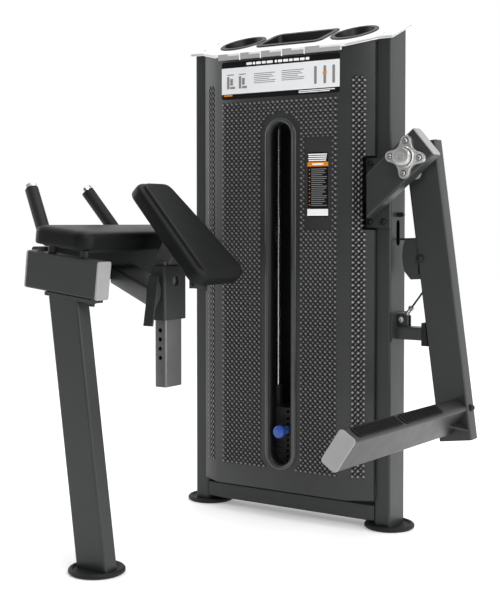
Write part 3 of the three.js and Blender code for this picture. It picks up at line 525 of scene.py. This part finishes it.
def weave_mesh(low, high, skip, place):
    """Vertices, faces and lift of every cell, and a painted shade level for each point, with every second
    strand a little dimmer as painted shade.

    place turns (a, z, height) into a tower point.
    """
    half = WEAVE_PITCH / 2
    verts, faces, shade_levels = [], [], []
    for a, z, flip in weave_cells(low, high, skip):
        start = len(verts)
        for i in range(CELL_STEPS + 1):
            for j in range(CELL_STEPS + 1):
                du, dv = i / CELL_STEPS - 0.5, j / CELL_STEPS - 0.5
                lift_and_shade = weave_height(dv, du) if flip else weave_height(du, dv)
                height = WEAVE_SEAT + lift_and_shade * WEAVE_HEIGHT
                verts.append(place(a + (du + dv) * half, z + (du - dv) * half, height))
                # Painted shade: the colour follows the lift, and every second strand is dimmed.
                shade_levels.append(lift_and_shade * (1.0 if flip else SHADED_STRAND))
        for i in range(CELL_STEPS):
            for j in range(CELL_STEPS):
                corner = start + i * (CELL_STEPS + 1) + j
                faces.append((corner, corner + 1, corner + CELL_STEPS + 2, corner + CELL_STEPS + 1))
    return verts, faces, shade_levels


def add_weave(name, low, high, skip, place):
    verts, faces, shade_levels = weave_mesh(low, high, skip, place)
    piece = piece_from(name, verts, faces, WOVEN, slot="cover_paint")
    # The strand lift goes to the woven paint as a point attribute, and sets its painted shade.
    attribute = piece.data.attributes.new("lift_and_shade", "FLOAT", "POINT")
    attribute.data.foreach_set("value", shade_levels)
    return piece


COVER_FRONT = -103
COVER_BACK = 103
WING = {"inner": 229.5, "outer": 304, "front": 103, "back": 61}
SLOT = {"x": 6, "low": 164, "high": 1216, "width": 84}
PLATE_HEIGHTS = {-1: (686, 906), 1: (885, 1110)}


def near_slot(x, z):
    """Inside the smooth band that follows the selector slot."""
    reach = SLOT["width"] / 2 + 30
    middle = min(max(z, SLOT["low"] + SLOT["width"] / 2), SLOT["high"] - SLOT["width"] / 2)
    return math.hypot(x - SLOT["x"], z - middle) < reach


def front_skip(x, z):
    label = 89 < x < 186 and 889 < z < 1163
    return near_slot(x, z) or label


def wing_place(side, back):
    """Tower points on an angled wing from a distance along it."""
    start = Vector((WING["inner"], WING["front"]))
    run = Vector((WING["outer"], WING["back"])) - start
    along = run.normalized()
    out = Vector((-along.y, along.x))

    def place(a, z, height):
        spot = start + along * a + out * height
        return side * spot.x, (spot.y if back else -spot.y), z
    return place, run.length


def add_wing_weave(side, back):
    place, length = wing_place(side, back)
    word = ("left" if side < 0 else "right") + ("_back" if back else "_front")
    plate = PLATE_HEIGHTS[side] if not back else (0, 0)
    reach = 1.75 * WEAVE_PITCH
    low, high = (length / 2 - reach, WEAVE_LOW), (length / 2 + reach, 1348)
    add_weave(f"{word}_wing_weave", low, high, lambda a, z: plate[0] < z < plate[1] and a > 50, place)


def add_relief():
    half = 212
    add_weave("front_weave", (-half, WEAVE_LOW), (half, 1288), front_skip,
              lambda x, z, height: (x, COVER_FRONT - height, z))
    add_weave("back_weave", (-half, WEAVE_LOW), (half, 1390), lambda x, z: False,
              lambda x, z, height: (x, COVER_BACK + height, z))
    for side in (-1, 1):
        for back in (False, True):
            add_wing_weave(side, back)


def add_slot_bead():
    """The rounded bead round the selector slot."""
    outline = stadium(SLOT["x"], SLOT["low"] - 6, SLOT["high"] + 6, SLOT["width"] + 12, 28)
    path = [Vector((x, COVER_FRONT, z)) for x, z in outline]
    half_turn = [math.pi * k / 10 for k in range(11)]
    section = [(8.2 * math.cos(angle), 1 - 8.8 * math.sin(angle)) for angle in half_turn]
    piece_from("slot_bead", *swept(path, section, closed=True), BEAD_LIT_PAINT, slot="cover_paint")


def add_slot_well():
    """The black wall inside the selector slot."""
    outer = stadium(SLOT["x"], SLOT["low"] + 2, SLOT["high"] - 2, SLOT["width"] - 4, 24)
    count = len(outer)
    verts = [(x, COVER_FRONT + y, z) for y in (-4.5, 34) for x, z in outer]
    well = finished("slot_well", (verts, band(0, count, count)), "black_plastic")
    thick = well.modifiers.new("thickness", "SOLIDIFY")
    thick.thickness = 1.5 * MM


# ---------- labels ----------

# The printed layers, from one height to another above the cover
BASE = (0.3, 0.9)
FIELD = (0.9, 1.2)
MARK = (1.2, 1.5)
TOP_MARK = (1.5, 1.8)


def add_flat(name, shapes, material):
    """A thin printed layer on the front panel; each shape is an outline of (x, z) and a height."""
    parts = []
    for outline, low, high in shapes:
        parts.append(moved(prism(outline, low, high), facing((0, COVER_FRONT, 0), X, -Y)))
    return piece_from(name, *joined(*parts), material)


def bar(x0, z0, x1, z1, radius=1.0):
    return rounded(x1 - x0, z1 - z0, min(radius, (z1 - z0) / 2 - 0.05, (x1 - x0) / 2 - 0.05), 3,
                   ((x0 + x1) / 2, (z0 + z1) / 2))


def lines_of_bars(left, right, top, count, step, thick, low, high):
    """Short rows of plain bars, uneven at their right ends."""
    rows = []
    for i in range(count):
        end = right - (right - left) * (0.05, 0.18, 0.10, 0.30, 0.02)[i % 5]
        z = top - i * step
        rows.append((bar(left, z - thick, end, z), low, high))
    return rows


def disc(x, z, radius, sides=16):
    return [(x + a, z + b) for a, b in ring(radius, sides)]


def add_title_label():
    add_flat("title_label_base", [(rounded(420, 116, 7, 5, (0, 1352)), *BASE)], LABEL_BLACK)
    add_flat("title_label_field", [(bar(-210, 1310, 210, 1391, 0.5), *FIELD)], LABEL_PALE)
    title, left = [], -118
    for width in (20, 9, 17, 14, 22, 0, 8, 15, 18, 12, 19, 16, 13):
        if width:
            title.append((bar(left, 1396.5, left + width, 1404.5, 2), *FIELD))
        left += width + 3.5
    title += lines_of_bars(70, 200, 1306.5, 2, 4.6, 2.6, *FIELD)
    add_flat("title_label_marks", title, LABEL_WHITE)
    greys = lines_of_bars(-90, -10, 1369, 6, 5.6, 2.2, *MARK)
    greys += lines_of_bars(10, 92, 1371, 6, 5.6, 2.2, *MARK)
    for x in (-190, -146):
        for left, low, right, high in ((0, 1326, 9, 1364), (12, 1326, 30, 1333), (12, 1337, 22, 1358),
                                       (0, 1368, 26, 1371)):
            greys.append((bar(x + left, low, x + right, high, 1), *MARK))
    for x in (128, 160, 190):
        greys.append((rounded(9, 54, 4, 3, (x, 1349)), *MARK))
    add_flat("title_label_shapes", greys, LABEL_GREY)
    tag = [(bar(-202, 1303.5, -170, 1308, 1), *FIELD), (rounded(13, 9, 3, 3, (160, 1354)), *TOP_MARK)]
    add_flat("title_label_tags", tag, LABEL_ORANGE)


def add_notice_label():
    add_flat("notice_label_base", [(rounded(70, 193, 6, 5, (136.5, 1023.5)), *BASE)], LABEL_BLACK)
    add_flat("notice_label_band", [(bar(101, 1078, 172, 1091, 0.5), *FIELD)]
             + [(disc(108, 1068 - i * 11.6, 1.7, 8), *FIELD) for i in range(11)], LABEL_ORANGE)
    white = [(bar(101, 931, 172, 951, 0.5), *FIELD), (bar(118, 1082, 156, 1087, 1), *MARK)]
    for i, z in enumerate((1112, 1106, 1100, 1094)):
        white.append((bar(103 + i % 2 * 2, z, 168 - i, z + 3.6, 1), *FIELD))
    add_flat("notice_label_white", white, LABEL_WHITE)
    add_flat("notice_label_rows", lines_of_bars(114, 169, 1071, 20, 5.7, 2.0, *FIELD), LABEL_GREY)


# ---------- cap ----------

CAP_SLOPE = 0.4
CAP_TOP = 1479.5


def cap_height(y):
    return CAP_TOP + CAP_SLOPE * y


def add_cap_lip():
    """The grey lip under the cap's front edge, in blocks stepped down on their right halves."""
    joints = (-217, -136, -60, 16, 95, 217)
    top, bottom = cap_height(-112) - 0.6, 1415.0
    parts, ribs = [], []
    for left, right in zip(joints, joints[1:]):
        middle = left + (right - left) * 0.42
        outline = [(left, bottom), (right, bottom), (right, top - 7), (middle, top - 7), (middle, top),
                   (left, top)]
        parts.append(moved(prism(outline, 0.4, 2.6), facing((0, -112, 0), X, -Y)))
        ribs.append(block((left - 1.5, -115.8, bottom - 2), (left + 1.5, -112.3, top)))
    piece_from("cap_lip", *joined(*parts), CAP_EDGE, slot="cap_silver", width=0.5)
    piece_from("cap_lip_ribs", *joined(*ribs[1:]), LABEL_WHITE, slot="cap_silver", width=0.4)
    back = block((joints[0], 112.2, cap_height(112) - 22), (joints[-1], 114.4, cap_height(112) - 1))
    piece_from("cap_lip_back", *back, CAP_EDGE, slot="cap_silver", width=0.5)


def add_cap_edge():
    """A grey band under the rim of the cap, where its side faces show."""
    corners = [(360.5, -60.5), (316.4, -60.5), (232.3, -112.4)]
    parts = []
    for side in (-1, 1):
        for end in (-1, 1):
            points = [Vector((side * x, -end * y, cap_height(-end * y) - 5.6)) for x, y in corners]
            parts.append(swept(points, [(-0.6, -3.2), (0.6, -3.2), (0.6, 3.2), (-0.6, 3.2)]))
    for side in (-1, 1):
        points = [Vector((side * 360.5, y, cap_height(y) - 5.6)) for y in (-60.5, 60.5)]
        parts.append(swept(points, [(-3.2, -0.6), (3.2, -0.6), (3.2, 0.6), (-3.2, 0.6)]))
    piece_from("cap_edge_band", *joined(*parts), CAP_EDGE, slot="cap_silver")


def add_cap_screws():
    slope = Vector((0, -CAP_SLOPE, 1)).normalized()
    parts = []
    for x in (-322, 322):
        for y in (-36, 42):
            spot = (x, y, cap_height(y) - 0.3)
            head = turned([(0, 0), (5.5, 0), (5.3, 1.2), (4, 2.0), (2.2, 2.2), (2.0, 0.8), (0, 0.8)], 24)
            parts.append(moved(head, facing(spot, X, slope)))
    piece_from("cap_screws", *joined(*parts), BOLT_STEEL)


# ---------- bolts and welds ----------

def bolt_head(radius, height):
    """A button head with a washer and a hexagon socket."""
    washer = turned([(0, 0), (radius * 1.35, 0), (radius * 1.35, height * 0.22), (0, height * 0.22)], 28)
    dome = turned([
        (0, height * 0.2), (radius, height * 0.2), (radius, height * 0.5), (radius * 0.9, height * 0.8),
        (radius * 0.7, height), (radius * 0.45, height), (radius * 0.45, height * 0.45),
        (0, height * 0.45),
    ], 28)
    return joined(washer, dome)


def hex_head(radius, height):
    """A hexagon head on a washer."""
    washer = turned([(0, 0), (radius * 1.25, 0), (radius * 1.25, height * 0.2), (0, height * 0.2)], 28)
    return joined(washer, prism(ring(radius, 6), height * 0.2, height))


def add_bolts(name, spots, direction, radius, body="frame", height=6.0, shape=bolt_head,
              material=BOLT_BLACK):
    across = Z if abs(direction.dot(Z)) < 0.9 else X
    heads = [moved(shape(radius, height), facing(spot, across, direction)) for spot in spots]
    return piece_from(name, *joined(*heads), material, body, width=0.4)


def weld_bead(start, end, radius=2.6, step=3.2):
    """A rippled bead along a straight joint."""
    start, end = Vector(start), Vector(end)
    count = max(2, int((end - start).length / step) * 2)
    path = [start.lerp(end, i / count) for i in range(count + 1)]
    verts, faces = [], []
    along = (end - start).normalized()
    side = along.orthogonal().normalized()
    up = along.cross(side)
    sides = 8
    for i, point in enumerate(path):
        r = radius * (1.0 if i % 2 else 0.82)
        verts += [point + side * a * r + up * b * r for a, b in ring(1, sides)]
    for i in range(count):
        faces += band(i * sides, (i + 1) * sides, sides)
    faces += [tuple(reversed(range(sides))), tuple(range(count * sides, (count + 1) * sides))]
    return verts, faces


def add_welds(name, runs):
    finished(name, joined(*[weld_bead(start, end) for start, end in runs]), "graphite_paint")


def tilted(point, centre, angle):
    """A point in a frame turned by angle about +Y through centre."""
    x, y, z = point
    c, s = math.cos(angle), math.sin(angle)
    return Vector((centre[0] + x * c + z * s, centre[1] + y, centre[2] - x * s + z * c))


CROSSBAR = {"centre": (-209.5, -823, 774), "tilt": math.radians(6.4)}
PIVOT = Vector((428, 0, 1096))
PIVOT_ANGLE = math.radians(40.5)


def add_fasteners():
    add_bolts("pivot_plate_bolts", [(x, -58.6, z) for x in (288, 331) for z in (1083, 913)], -Y, 7)
    add_bolts("beam_plate_bolts", [(x, -58.6, z) for x in (-361, -312) for z in (882, 710)], -Y, 7)
    flange = []
    for x in (-38, 94):
        flange.append(tilted((x, 0, -60.6), CROSSBAR["centre"], CROSSBAR["tilt"]))
    down = tilted((0, 0, -1), (0, 0, 0), CROSSBAR["tilt"])
    add_bolts("leg_flange_bolts", flange, down, 8, height=10, shape=hex_head)
    add_bolts("arm_bolt", [(583.8, 0, 381)], Vector((0.99, 0, 0.135)), 8.5, body="arm", height=9)
    add_bolts("arm_pulley_bolt", [(434, -31.2, 806)], -Y, 8.5, body="arm", height=5)
    add_bolts("peg_head", [(366.2, 0, 934)], X, 5.4, height=5)
    add_bolts("anchor_bolt_head", [(370, -19, 626)], -Y, 7, height=5, material=BOLT_STEEL)
    add_bolts("anchor_bolt_nut", [(370, 12.2, 626)], Y, 9, height=11, shape=hex_head)


def add_weld_runs():
    beam = [((-309, -59, 748), (-309, -59, 844)), ((-361, -59, 748), (-361, -59, 844)),
            ((-358, -59, 847), (-312, -59, 847)), ((-358, -59, 745), (-312, -59, 745))]
    add_welds("beam_welds", beam)
    brace = [((-309, -518, z), (-309, -424, z)) for z in (787, 736)]
    add_welds("brace_welds", brace)


# ---------- pivot castings ----------

BOLT_CIRCLE = 46
EAR_TURN = math.radians(-4)


def lobed_outline(lobes=4, radius=15.5, valley=35.5):
    """Four round ears joined by hollow sides."""
    points = []
    for i in range(lobes):
        angle = EAR_TURN + i * 2 * math.pi / lobes
        x, y = BOLT_CIRCLE * math.cos(angle), BOLT_CIRCLE * math.sin(angle)
        points += [(x + radius * math.cos(angle + t), y + radius * math.sin(angle + t))
                   for t in [-1.35 + 2.7 * k / 12 for k in range(13)]]
        start, end = angle + 0.42, angle + 2 * math.pi / lobes - 0.42
        for k in range(1, 8):
            t = k / 8
            reach = valley + 6.0 * (2 * t - 1) ** 2
            mid = start + (end - start) * t
            points.append((reach * math.cos(mid), reach * math.sin(mid)))
    return points


def scaled(outline, share):
    return [(x * share, y * share) for x, y in outline]


def casting(face):
    """The flange from its seat up: an eared plate with a raised rim, and a stepped hub with a bore."""
    rim = scaled(lobed_outline(radius=13.5), 0.97)
    plate = joined(prism(lobed_outline(), 0, 11.6), prism(rim, 11.5, 12.9))
    hub = turned([(0, 10), (31, 12.8), (30.2, 14.4), (30.2, 18.2), (29, 19.8), (27.2, 19.8), (26.4, 18.6),
                  (26.4, 14), (0, 14)], 56)
    return moved(plate, face), moved(hub, face)


def add_castings():
    seats = {"bearing_front": (-108.6, -1), "bearing_rear": (-58.0, 1)}
    for name, (seat, side) in seats.items():
        face = facing((PIVOT.x, seat, PIVOT.z), X, Y * side)
        plate, hub = casting(face)
        ears = finished(f"{name}_ears", plate, "cast_silver", width=2.2, segments=3)
        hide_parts(name)
        finished(f"{name}_hub", hub, "cast_silver")
        spots = []
        for i in range(4):
            angle = EAR_TURN + i * math.pi / 2
            spots.append((PIVOT.x + BOLT_CIRCLE * math.cos(angle), seat + side * 12.8,
                          PIVOT.z - side * BOLT_CIRCLE * math.sin(angle)))
        rings = [moved(turned([(0, 0), (9.6, 0), (9.6, 0.6), (0, 0.6)], 32), facing(spot, X, Y * side))
                 for spot in spots]
        piece_from(f"{name}_washers", *joined(*rings), BOLT_BLACK)
        add_bolts(f"{name}_bolts", spots, Y * side, 6.6, height=5.5, material=BOLT_STEEL)


def add_shaft():
    """The pivot shaft, with its grooved front cap."""
    shank = [(0, -34), (14, -34), (15, -33), (15, 128.8), (23, 128.8), (23.4, 132), (25.4, 132.6)]
    grooves = [(25.4, 135.6), (24.4, 136.4), (25.4, 137.2), (25.4, 140.4), (24.4, 141.2), (25.4, 142)]
    end = [(25.4, 146.4), (24.4, 148.4), (22.6, 149), (13, 149), (12.3, 148.2), (11.6, 149), (6.2, 149),
           (5.6, 147.6), (4.2, 147.6), (3.6, 148.8), (0, 148.8)]
    shape = moved(turned(shank + grooves + end, 64), facing((PIVOT.x, 0, PIVOT.z), X, -Y))
    shaft = finished("pivot_shaft_turned", shape, "cast_silver", body="arm")
    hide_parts("pivot_shaft")


def add_beam_end():
    """The plate that closes the front end of the main beam."""
    plate = moved(prism(rounded(49, 99, 7), 0.1, 1.0), facing((-335, -796.7, 796), X, -Y))
    finished("main_beam_end", plate, "graphite_paint")


def add_spacer_sleeves():
    """Black sleeves on the two spacers that carry the elbow pad on the crossbar."""
    up = tilted((0, 0, 1), (0, 0, 0), CROSSBAR["tilt"])
    sleeves = []
    for x in (-57, 56):
        foot = tilted((x, 0, 0), CROSSBAR["centre"], CROSSBAR["tilt"])
        sleeves.append(moved(prism(ring(11.6, 32), 50.4, 68), facing(foot, Y, up)))
    finished("spacer_sleeves", joined(*sleeves), "black_plastic", width=0.6)


def add_cable_nut():
    """The threaded end and locknut of the cable where it meets its anchor."""
    along = Vector((math.cos(math.radians(52.9)), 0, math.sin(math.radians(52.9))))
    start = ANCHOR + along * 14
    threads = [(0, 0), (5.6, 0)]
    for i in range(11):
        threads += [(5.6, 2 * i + 0.4), (6.3, 2 * i + 1.2), (5.6, 2 * i + 2)]
    threads += [(5.6, 23), (0, 23)]
    nut = prism(ring(9, 6), 23, 31)
    verts, faces = moved(joined(turned(threads, 24), nut), facing(start, Y, along))
    piece_from("cable_locknut", verts, faces, BOLT_STEEL, body="cable_end", width=0.3)


def add_pivot_tube_cap():
    along = Vector((math.cos(PIVOT_ANGLE), 0, math.sin(PIVOT_ANGLE)))
    end = PIVOT + along * 65 + Vector((0, -83.3, 0))
    cap = prism(rounded(99, 49, 8), 0.4, 4.6)
    side = Vector((-along.z, 0, along.x))
    finished("pivot_tube_cap", moved(cap, facing(end, side, along)), "tube_cap_silver", width=1.4)


# ---------- treads ----------

FOOT_ROLL = math.radians(33)
FOOT_NEAR, FOOT_FAR = Vector((537, -25.3, 354)), Vector((541, -705, 369))


def tread_mesh(length, width=36, base=2.4, rib=1.6, pitch=5.2):
    """A rubber tread: a round-ended mat with crosswise ribs cut by three lengthwise grooves."""
    shapes = [prism(rounded(length, width, 12), 0, base)]
    count = int((length - 20) / pitch)
    lanes = 4
    lane = (width - 7) / lanes
    for i in range(count):
        x = (i - (count - 1) / 2) * pitch
        for k in range(lanes):
            y = (k - (lanes - 1) / 2) * lane
            shapes.append(block((x - pitch * 0.3, y - lane * 0.40, base - 0.1),
                                (x + pitch * 0.3, y + lane * 0.40, base + rib)))
    return joined(*shapes)


def add_treads():
    along = (FOOT_FAR - FOOT_NEAR).normalized()
    across = Vector((math.cos(FOOT_ROLL), 0, -math.sin(FOOT_ROLL)))
    across = (across - along * across.dot(along)).normalized()
    up = along.cross(across)
    length = (FOOT_FAR - FOOT_NEAR).length
    for i, (low, high) in enumerate(((26, 272), (284, 525)), 1):
        centre = FOOT_NEAR + along * (length - (low + high) / 2) + up * 50.3
        verts, faces = moved(tread_mesh(high - low), facing(centre, along, up))
        tread = piece_from(f"tread_{i}", verts, faces, TREAD_RUBBER, body="arm", slot="black_rubber")
        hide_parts(f"foot_tread_{i}")


# ---------- pads ----------

def inset(outline, amount):
    """An outline moved inwards along its own normals."""
    count = len(outline)
    moved_points = []
    for i in range(count):
        before, after = Vector(outline[i - 1]), Vector(outline[(i + 1) % count])
        along = (after - before).normalized()
        normal = Vector((-along.y, along.x))
        moved_points.append(Vector(outline[i]) + normal * amount)
    return moved_points


def rolled_edge(thick):
    """Inset and height up the side of a pad whose top rolls over in one soft curve."""
    return [(7, 0), (2.5, 0.8), (0.6, 3.2), (0, 8), (0, thick - 19), (1.2, thick - 13), (4.4, thick - 8),
            (9, thick - 4.4), (15, thick - 2.0), (22, thick - 0.6), (30, thick)]


def stepped_edge(thick):
    """Inset and height up the side of a pad with a round shoulder below a raised top panel."""
    low = thick - 25
    shoulder = [(0, 0), (0.9, 5), (3.2, 9.4), (6.6, 12.4), (9.8, 14.4), (12.2, 16), (13.6, 18.2),
                (14.6, 21), (16.4, 23.4), (19.4, 24.6)]
    return [(7, 0), (2.5, 0.8), (0.6, 3.2), (0, 8)] + [(i, low + up) for i, up in shoulder] + [(24, thick)]


def cushion(outline, steps, crown):
    """A pad that rises along +Z from its flat back by the given edge steps to a crowned top."""
    verts, faces = [], []
    count = len(outline)
    for amount, height in steps:
        verts += [(p.x, p.y, height) for p in inset(outline, amount)]
    for level in range(len(steps) - 1):
        faces += band(level * count, (level + 1) * count, count)
    last = inset(outline, steps[-1][0])
    centre = sum(last, Vector((0, 0))) / count
    start = (len(steps) - 1) * count
    for share in (0.8, 0.6, 0.4, 0.2, 0.07):
        height = steps[-1][1] + crown * (1 - share ** 2)
        level = len(verts)
        verts += [(*(centre + (p - centre) * share), height) for p in last]
        faces += band(start, level, count)
        start = level
    faces.append(tuple(start + k for k in range(count)))
    faces.append(tuple(reversed(range(count))))
    return verts, faces


def dense(outline, spacing=9.0):
    """The same outline with points no further apart than spacing."""
    points = []
    for i, point in enumerate(outline):
        start, end = Vector(point), Vector(outline[(i + 1) % len(outline)])
        count = max(1, math.ceil((end - start).length / spacing))
        points += [start.lerp(end, k / count) for k in range(count)]
    return points


def trapezoid(half_top, half_bottom, length, radius):
    """A tapering pad outline, anticlockwise, with round corners; the narrow end is at the origin."""
    corners = [Vector((-half_top, 0)), Vector((-half_bottom, length)), Vector((half_bottom, length)),
               Vector((half_top, 0))]
    corners.reverse()
    points = []
    for i, corner in enumerate(corners):
        before = (corners[i - 1] - corner).normalized()
        after = (corners[(i + 1) % 4] - corner).normalized()
        for k in range(8):
            t = k / 7
            start, end = corner + before * radius, corner + after * radius
            points.append(start * (1 - t) ** 2 + corner * 2 * t * (1 - t) + end * t ** 2)
    return points


USER_Y = -588


def add_elbow_pad():
    thick = 50
    tilt = CROSSBAR["tilt"]
    base = tilted((0, 0, -thick / 2), (-219, USER_Y, 872), tilt)
    up = tilted((0, 0, 1), (0, 0, 0), tilt)
    across = tilted((1, 0, 0), (0, 0, 0), tilt)
    outline = dense(rounded(195, 523, 38, 10))
    shape = moved(cushion(outline, rolled_edge(thick), 2.6), facing(base, across, up))
    elbow = finished("elbow_cushion", shape, "pad_vinyl")
    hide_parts("elbow_pad")
    board = moved(prism(rounded(165, 470, 18), -5, -0.3), facing(base, across, up))
    finished("elbow_board", board, "black_plastic", width=0.8)


def add_chest_pad():
    high, low, thick = Vector((-105.6, USER_Y, 1030.1)), Vector((143, USER_Y, 779.6)), 50
    along = (low - high).normalized()
    normal = Vector((-along.z, 0, along.x))
    back = high - normal * thick
    outline = dense(trapezoid(69.5, 109.5, (low - high).length, 40))
    place = Matrix.Translation(back) @ Matrix((-Y, along, normal)).transposed().to_4x4()
    shape = moved(cushion(outline, stepped_edge(thick), 1.6), place)
    chest = finished("chest_cushion", shape, "pad_vinyl", body="pad_support")
    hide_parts("chest_pad")


# ---------- grips and cables ----------

def add_grips():
    """Ribbed rubber sleeves over the two handles."""
    for word, side in (("near", -1), ("far", 1)):
        root = Vector((-341, USER_Y + side * 165, 846))
        tip = Vector((-453, USER_Y + side * 115, 1014))
        length = (tip - root).length
        profile = [(12.8, 30), (18, 30), (19, 31.2)]
        rib = 31.2
        while rib < length - 20:
            profile += [(19, rib + 0.6), (19, rib + 3.2), (18.8, rib + 3.6), (18.8, rib + 4.1)]
            rib += 4.4
        profile += [(19, length - 13.6), (18.2, length - 12.4), (12.8, length - 12.4), (12.8, 30)]
        shape = moved(turned(profile, 32), facing(root, Y, tip - root))
        grip = finished(f"{word}_grip", shape, "black_rubber")
        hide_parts(f"grip_{word}")


CABLE = 3.0
WRAP = 57.5
TOP_PULLEY = Vector((WRAP, 0, 1353))
LOW_PULLEY = Vector((3 * WRAP, 0, 913.5))
ARM_PULLEY = Vector((434, 0, 806))
ANCHOR = Vector((370, 0, 626))


def on_pulley(centre, angle):
    return centre + Vector((math.cos(angle), 0, math.sin(angle))) * WRAP


def arc(centre, start, end, count):
    return [on_pulley(centre, start + (end - start) * i / count) for i in range(count + 1)]


def direction(start, end, offset):
    """Angle of the straight cable between two centres, turned by the wheels it leaves and joins."""
    reach = end - start
    return math.atan2(reach.z, reach.x) + math.asin(offset / reach.length)


UPPER_RUN = direction(LOW_PULLEY, ARM_PULLEY, 2 * WRAP)
LOWER_RUN = direction(ANCHOR, ARM_PULLEY, -WRAP)
LOW_LEAVE = 1.5 * math.pi + UPPER_RUN
RUN_SPLIT = math.radians(30)
CABLE_SECTION = ring(CABLE, 12)


def add_stack_cable():
    """The run above the stack, straight up to the top pulley."""
    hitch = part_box("selector_rod")[1][2] / MM
    low = hitch - 8
    reach = TOP_PULLEY.z - low
    path = [Vector((0, 0, low + reach * i / 40)) for i in range(41)]
    stack = finished("stack_cable", swept(path, CABLE_SECTION), "cable_coat")
    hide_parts("cable_stack_run")
    anchor = tuple(at(0, 0, TOP_PULLEY.z))
    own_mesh(stack)


def add_tower_cable():
    """The run inside the tower, over the top pulley and under the low one."""
    path = arc(TOP_PULLEY, math.pi, 0, 40) + arc(LOW_PULLEY, math.pi, LOW_LEAVE, 24)
    piece = finished("tower_cable", swept(path, CABLE_SECTION), "cable_coat")
    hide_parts("cable_tower_run")


def add_arm_cables():
    """The two runs that turn with the arm pulley, joined on its far side, and the fixed tail."""
    along = Vector((math.cos(UPPER_RUN), 0, math.sin(UPPER_RUN)))
    leave = on_pulley(LOW_PULLEY, LOW_LEAVE)
    run = [leave - along * 86, leave] + arc(ARM_PULLEY, UPPER_RUN + math.pi / 2, RUN_SPLIT, 16)
    piece = finished("arm_cable_upper", swept(run, CABLE_SECTION), "cable_coat", "cable_upper")
    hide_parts("cable_upper_run")

    along = Vector((math.cos(LOWER_RUN), 0, math.sin(LOWER_RUN)))
    run = arc(ARM_PULLEY, RUN_SPLIT, LOWER_RUN - math.pi / 2, 16) + [ANCHOR + along * 44]
    piece = finished("arm_cable_lower", swept(run, CABLE_SECTION), "cable_coat", "cable_lower")
    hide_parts("cable_lower_run")
    tail = swept([ANCHOR + along * 40, ANCHOR + along * 230], ring(CABLE - 0.05, 12))
    finished("arm_cable_tail", tail, "cable_coat", "cable_end")


# ---------- selector pin ----------

def add_selector_pin():
    """A blue collar and knob on a steel pin."""
    face = facing((0, 0, 268.4), X, -Y)
    collar = turned([(0, 49.4), (12.5, 49.4), (13, 50.5), (13, 59), (11.5, 61), (5.5, 61), (5, 61.5),
                     (0, 61.5)], 40)
    knob = turned([(5, 88), (14, 89), (18.6, 91.5), (19.8, 95), (19.8, 102), (18.4, 106.5), (15, 109),
                   (8, 110), (0, 110.2)], 48)
    body = finished("selector_knob", moved(joined(collar, knob), face), "knob_blue", body="pin", width=0.3)
    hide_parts("selector_pin")
    shank = turned([(0, 60), (4.6, 60), (4.6, 82), (0, 82)], 24)
    pin = turned([(0, -5), (3.4, -4), (4.4, -2), (4.4, 50), (0, 50)], 24)
    finished("selector_shank", moved(joined(shank, pin), face), "chrome", body="pin")


add_camera()
add_studio()
dress_nodes()
add_relief()
add_slot_bead()
add_slot_well()
add_title_label()
add_notice_label()
add_cap_lip()
add_cap_edge()
add_cap_screws()
add_fasteners()
add_weld_runs()
add_castings()
add_shaft()
add_beam_end()
add_spacer_sleeves()
add_cable_nut()
add_pivot_tube_cap()
add_treads()
add_elbow_pad()
add_chest_pad()
add_grips()
add_stack_cable()
add_tower_cable()
add_arm_cables()
add_selector_pin()
